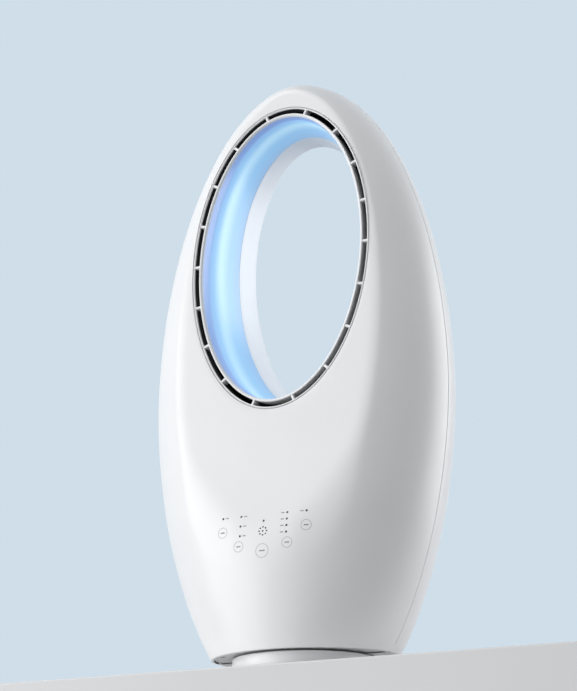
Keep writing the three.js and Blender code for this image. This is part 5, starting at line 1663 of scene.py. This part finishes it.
class Fan:
    """The whole fan: every dressed piece, and the finish of every solid that stays."""

    def __init__(self, frame: dict) -> None:
        """Keep the frame and make the shared forms and finishes.

        Args:
            frame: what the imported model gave.
        """
        self.frame = frame
        self.finish = Finishes()
        self.form = EggForm()
        self.opening = OvalOpening(self.form)

    def add(self, piece: bpy.types.Object, body: str, slot: str, nodes: list[str],
            *finishes: bpy.types.Material) -> None:
        """Finish a piece, hang it on its body, and let it stand for its solids.

        Args:
            piece: the piece.
            body: the body that it moves with.
            slot: the record's material slot; not used.
            nodes: the solids that it stands for.
            finishes: its materials in order.
        """
        for finish in finishes:
            piece.data.materials.append(finish)
        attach(piece, body)
        if nodes:
            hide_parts(*nodes)
        LOG.info("%s rides on %s, %d faces", piece.name, body, len(piece.data.polygons))

    def build_casing(self) -> None:
        """Make the casing, the floor, the grille and the touch panel."""
        casing = Casing(self.form, self.opening)
        panel = TouchPanel(self.form)
        front = casing.front()
        casing.carve_panel(front, panel)
        self.add(front, "body", "white_shell", ["front_shell"], self.finish.shell, self.finish.painted_shade)
        rear = casing.rear()
        casing.carve_rear(rear)
        self.add(rear, "body", "white_shell", ["rear_shell"], self.finish.shell, self.finish.painted_shade)
        self.add(casing.screw_tubes(), "body", "white_shell", [], self.finish.shell)
        self.add(casing.floor(), "body", "white_satin", ["body_floor"], self.finish.satin)
        self.add(casing.grille(), "body", "white_satin", ["intake_grille"], self.finish.satin)
        self.add(panel.print_marks(), "body", "grey_plastic", [], self.finish.ink, self.finish.label_ink)
        self.add(panel.light_guide(), "body", "smoked_lens", ["light_guide"], self.finish.smoked)

    def build_ring(self) -> None:
        """Make the nozzle and the lit band."""
        nozzle = Nozzle(self.opening).build()
        self.add(nozzle, "body", "white_shell", ["nozzle_ring"], self.finish.shell, self.finish.painted_shade)
        self.add(LightBand(self.opening).build(), "body", "light_band", ["light_diffuser"], self.finish.opal)

    def build_base(self) -> None:
        """Make the base's visible pieces."""
        base = Base()
        self.add(base.cover(), "base", "white_shell", ["base_cover"], self.finish.shell)
        self.add(base.foot_pad(), "base", "rubber", ["foot_pad"], self.finish.rubber)
        self.add(base.gland(), "base", "rubber", ["cord_gland"], self.finish.rubber)

    def build_screws(self) -> None:
        """Make the screws."""
        screws = Screws()
        back, down, up = Vector((0.0, 1.0, 0.0)), Vector((0.0, 0.0, -1.0)), Vector((0.0, 0.0, 1.0))
        for kind, count, body, axis in (
                ("shell_screw", 4, "body", back),
                ("floor_screw", 4, "body", down),
                ("post_screw", 3, "base", up)):
            for number in range(1, count + 1):
                node = f"{kind}_{number}"
                piece = screws.build(f"{kind}_{number}_pan_head", node, axis)
                self.add(piece, body, "steel", [node], self.finish.steel)

    def dress_solids(self) -> None:
        """Give each solid that is kept as it is the finish of its slot."""
        f = self.finish
        by_slot = {
            "white_shell": f.shell, "white_satin": f.satin, "light_band": f.opal, "smoked_lens": f.smoked,
            "grey_plastic": f.blower, "dark_plastic": f.nylon, "rubber": f.rubber, "acetal": f.acetal,
            "steel": f.steel, "circuit_board": f.board}
        # Painted shade: the duct's liner gets the near-black finish that stands for the shade inside it.
        by_node = {"ballast_plate": f.ballast, "led_strip": f.flex, "throat_liner": f.painted_shade}
        slots = {entry["node"]: entry["material_slot"] for entry in self.frame["record"]["subparts"]}
        for name, node in self.frame["nodes"].items():
            finish = by_node.get(name) or (f.spring if name.startswith("key_spring") else by_slot[slots[name]])
            node.data.materials.clear()
            node.data.materials.append(finish)

    def build(self) -> None:
        """Make everything."""
        self.dress_solids()
        self.build_casing()
        self.build_ring()
        self.build_base()
        self.build_screws()


# ---------------------------------------------------------------- studio


@dataclass(frozen=True)
class SoftLamp:
    """A square soft lamp that faces the fan.

    Its level is the light that it lays on a surface that faces it, where 1 shows a colour as written.
    """

    name: str
    azimuth: float                  # degrees round from the front towards +X
    elevation: float                # degrees up
    distance: float                 # millimetres from the fan's middle
    size: float                     # side of the lamp in millimetres
    level: float
    aim_z: float = 300.0

    def build(self) -> None:
        """Add the lamp to the scene."""
        a, e = math.radians(self.azimuth), math.radians(self.elevation)
        out = Vector((math.sin(a) * math.cos(e), -math.cos(a) * math.cos(e), math.sin(e)))
        side, away = self.size * MM, self.distance * MM
        data = bpy.data.lights.new(self.name, "AREA")
        data.shape = "SQUARE"
        data.size = side
        data.energy = self.level * math.pi * (math.pi * away ** 2 + side ** 2)
        lamp = bpy.data.objects.new(self.name, data)
        lamp.location = out * away + Vector((0.0, 0.0, self.aim_z * MM))
        lamp.rotation_euler = out.to_track_quat("Z", "Y").to_euler()
        bpy.context.scene.collection.objects.link(lamp)


@dataclass
class Studio:
    """A pale ledge, plain soft lamps and the camera, below the ledge and to the right."""

    ledge_front_y: float = -88.0
    ledge_reach: float = 1600.0
    ledge_thick: float = 400.0
    ledge_ease: float = 1.5
    camera_at: tuple[float, float, float] = (941.0, -1898.0, -283.0)
    look_at: tuple[float, float, float] = (-16.9, 0.0, 329.6)
    roll: float = -0.0033
    focal_px: float = 2216.1
    frame_px: float = 577.0
    sensor_mm: float = 36.0
    backdrop: str = "#CFDEE9"
    ledge_colour: str = "#E6E6E7"
    ambient_colour: str = "#F4F7FA"
    ambient: float = 0.23
    lamps: tuple[SoftLamp, ...] = (
        SoftLamp("key", -50.0, 6.0, 4000.0, 3200.0, 0.58),
        SoftLamp("top", -30.0, 62.0, 3400.0, 2400.0, 0.31),
        SoftLamp("fill", -18.0, -18.0, 3600.0, 2400.0, 0.16),
        SoftLamp("rim", 125.0, 10.0, 3600.0, 3000.0, 0.62))

    def ledge(self) -> None:
        """Make the ledge that the fan stands on, a slab with an eased front edge."""
        y, reach, ease, low = self.ledge_front_y, self.ledge_reach, self.ledge_ease, -self.ledge_thick
        section = [(y + ease, 0.0), (y, -ease), (y, low), (reach, low), (reach, 0.0)]
        slab = make_piece("ledge", *stacked([[(x, a, b) for a, b in section] for x in (-reach, reach)]))
        # Fine plaster: a matt pale grey with a faint trowelled unevenness.
        plaster = MouldedPlastic(
            "pale_plaster_trowelled", self.ledge_colour, "#E1E1E2", 0.85, 3.0, 0.02, 1.45, 220.0)
        slab.data.materials.append(plaster.build())

    def world(self) -> None:
        """Light the scene evenly and show a plain pale backdrop."""
        world = bpy.data.worlds.new("studio")
        bpy.context.scene.world = world
        world.use_nodes = True
        tree = world.node_tree
        tree.nodes.clear()
        path = add_node(tree, "ShaderNodeLightPath")
        mirrored = add_node(tree, "ShaderNodeMath", {"operation": "MAXIMUM"}, {
            0: path.outputs["Is Glossy Ray"], 1: path.outputs["Is Transmission Ray"]})
        seen = add_node(tree, "ShaderNodeMath", {"operation": "MAXIMUM"}, {
            0: path.outputs["Is Camera Ray"], 1: mirrored.outputs["Value"]})
        even = add_node(tree, "ShaderNodeBackground", inputs={
            "Color": linear(self.ambient_colour), "Strength": self.ambient})
        pale = add_node(tree, "ShaderNodeBackground", inputs={"Color": linear(self.backdrop), "Strength": 1.0})
        mix = add_node(tree, "ShaderNodeMixShader", inputs={
            "Fac": seen.outputs["Value"], 1: even.outputs["Background"], 2: pale.outputs["Background"]})
        add_node(tree, "ShaderNodeOutputWorld", inputs={"Surface": mix.outputs["Shader"]})

    def camera(self) -> None:
        """Add the camera at the photograph's view."""
        place, aim = Vector(self.camera_at) * MM, Vector(self.look_at) * MM
        forward = (aim - place).normalized()
        right = forward.cross(Vector((0.0, 0.0, 1.0))).normalized()
        up = right.cross(forward)
        turned_right = right * math.cos(self.roll) + up * math.sin(self.roll)
        turned_up = up * math.cos(self.roll) - right * math.sin(self.roll)
        data = bpy.data.cameras.new("camera")
        data.sensor_fit = "HORIZONTAL"
        data.sensor_width = self.sensor_mm
        data.lens = self.sensor_mm * self.focal_px / self.frame_px
        data.clip_end = 50.0
        camera = bpy.data.objects.new("camera", data)
        axes = Matrix((turned_right, turned_up, -forward)).transposed()
        camera.matrix_world = Matrix.Translation(place) @ axes.to_4x4()
        bpy.context.scene.collection.objects.link(camera)
        bpy.context.scene.camera = camera

    def build(self) -> None:
        """Set up the ledge, the lamps, the world and the camera."""
        self.ledge()
        self.world()
        for lamp in self.lamps:
            lamp.build()
        self.camera()
        bpy.context.scene.view_settings.view_transform = "Standard"


def corners(bounds: tuple) -> list[list[float]]:
    """The lowest and highest corner of a box as plain lists."""
    return [[float(value) for value in corner] for corner in bounds]


def main() -> None:
    """Load the solids, dress them and set up the studio."""
    logging.basicConfig(level=logging.INFO, format="%(name)s: %(message)s")
    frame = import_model()
    Fan(frame).build()
    Studio().build()


if __name__ == "__main__":
    main()
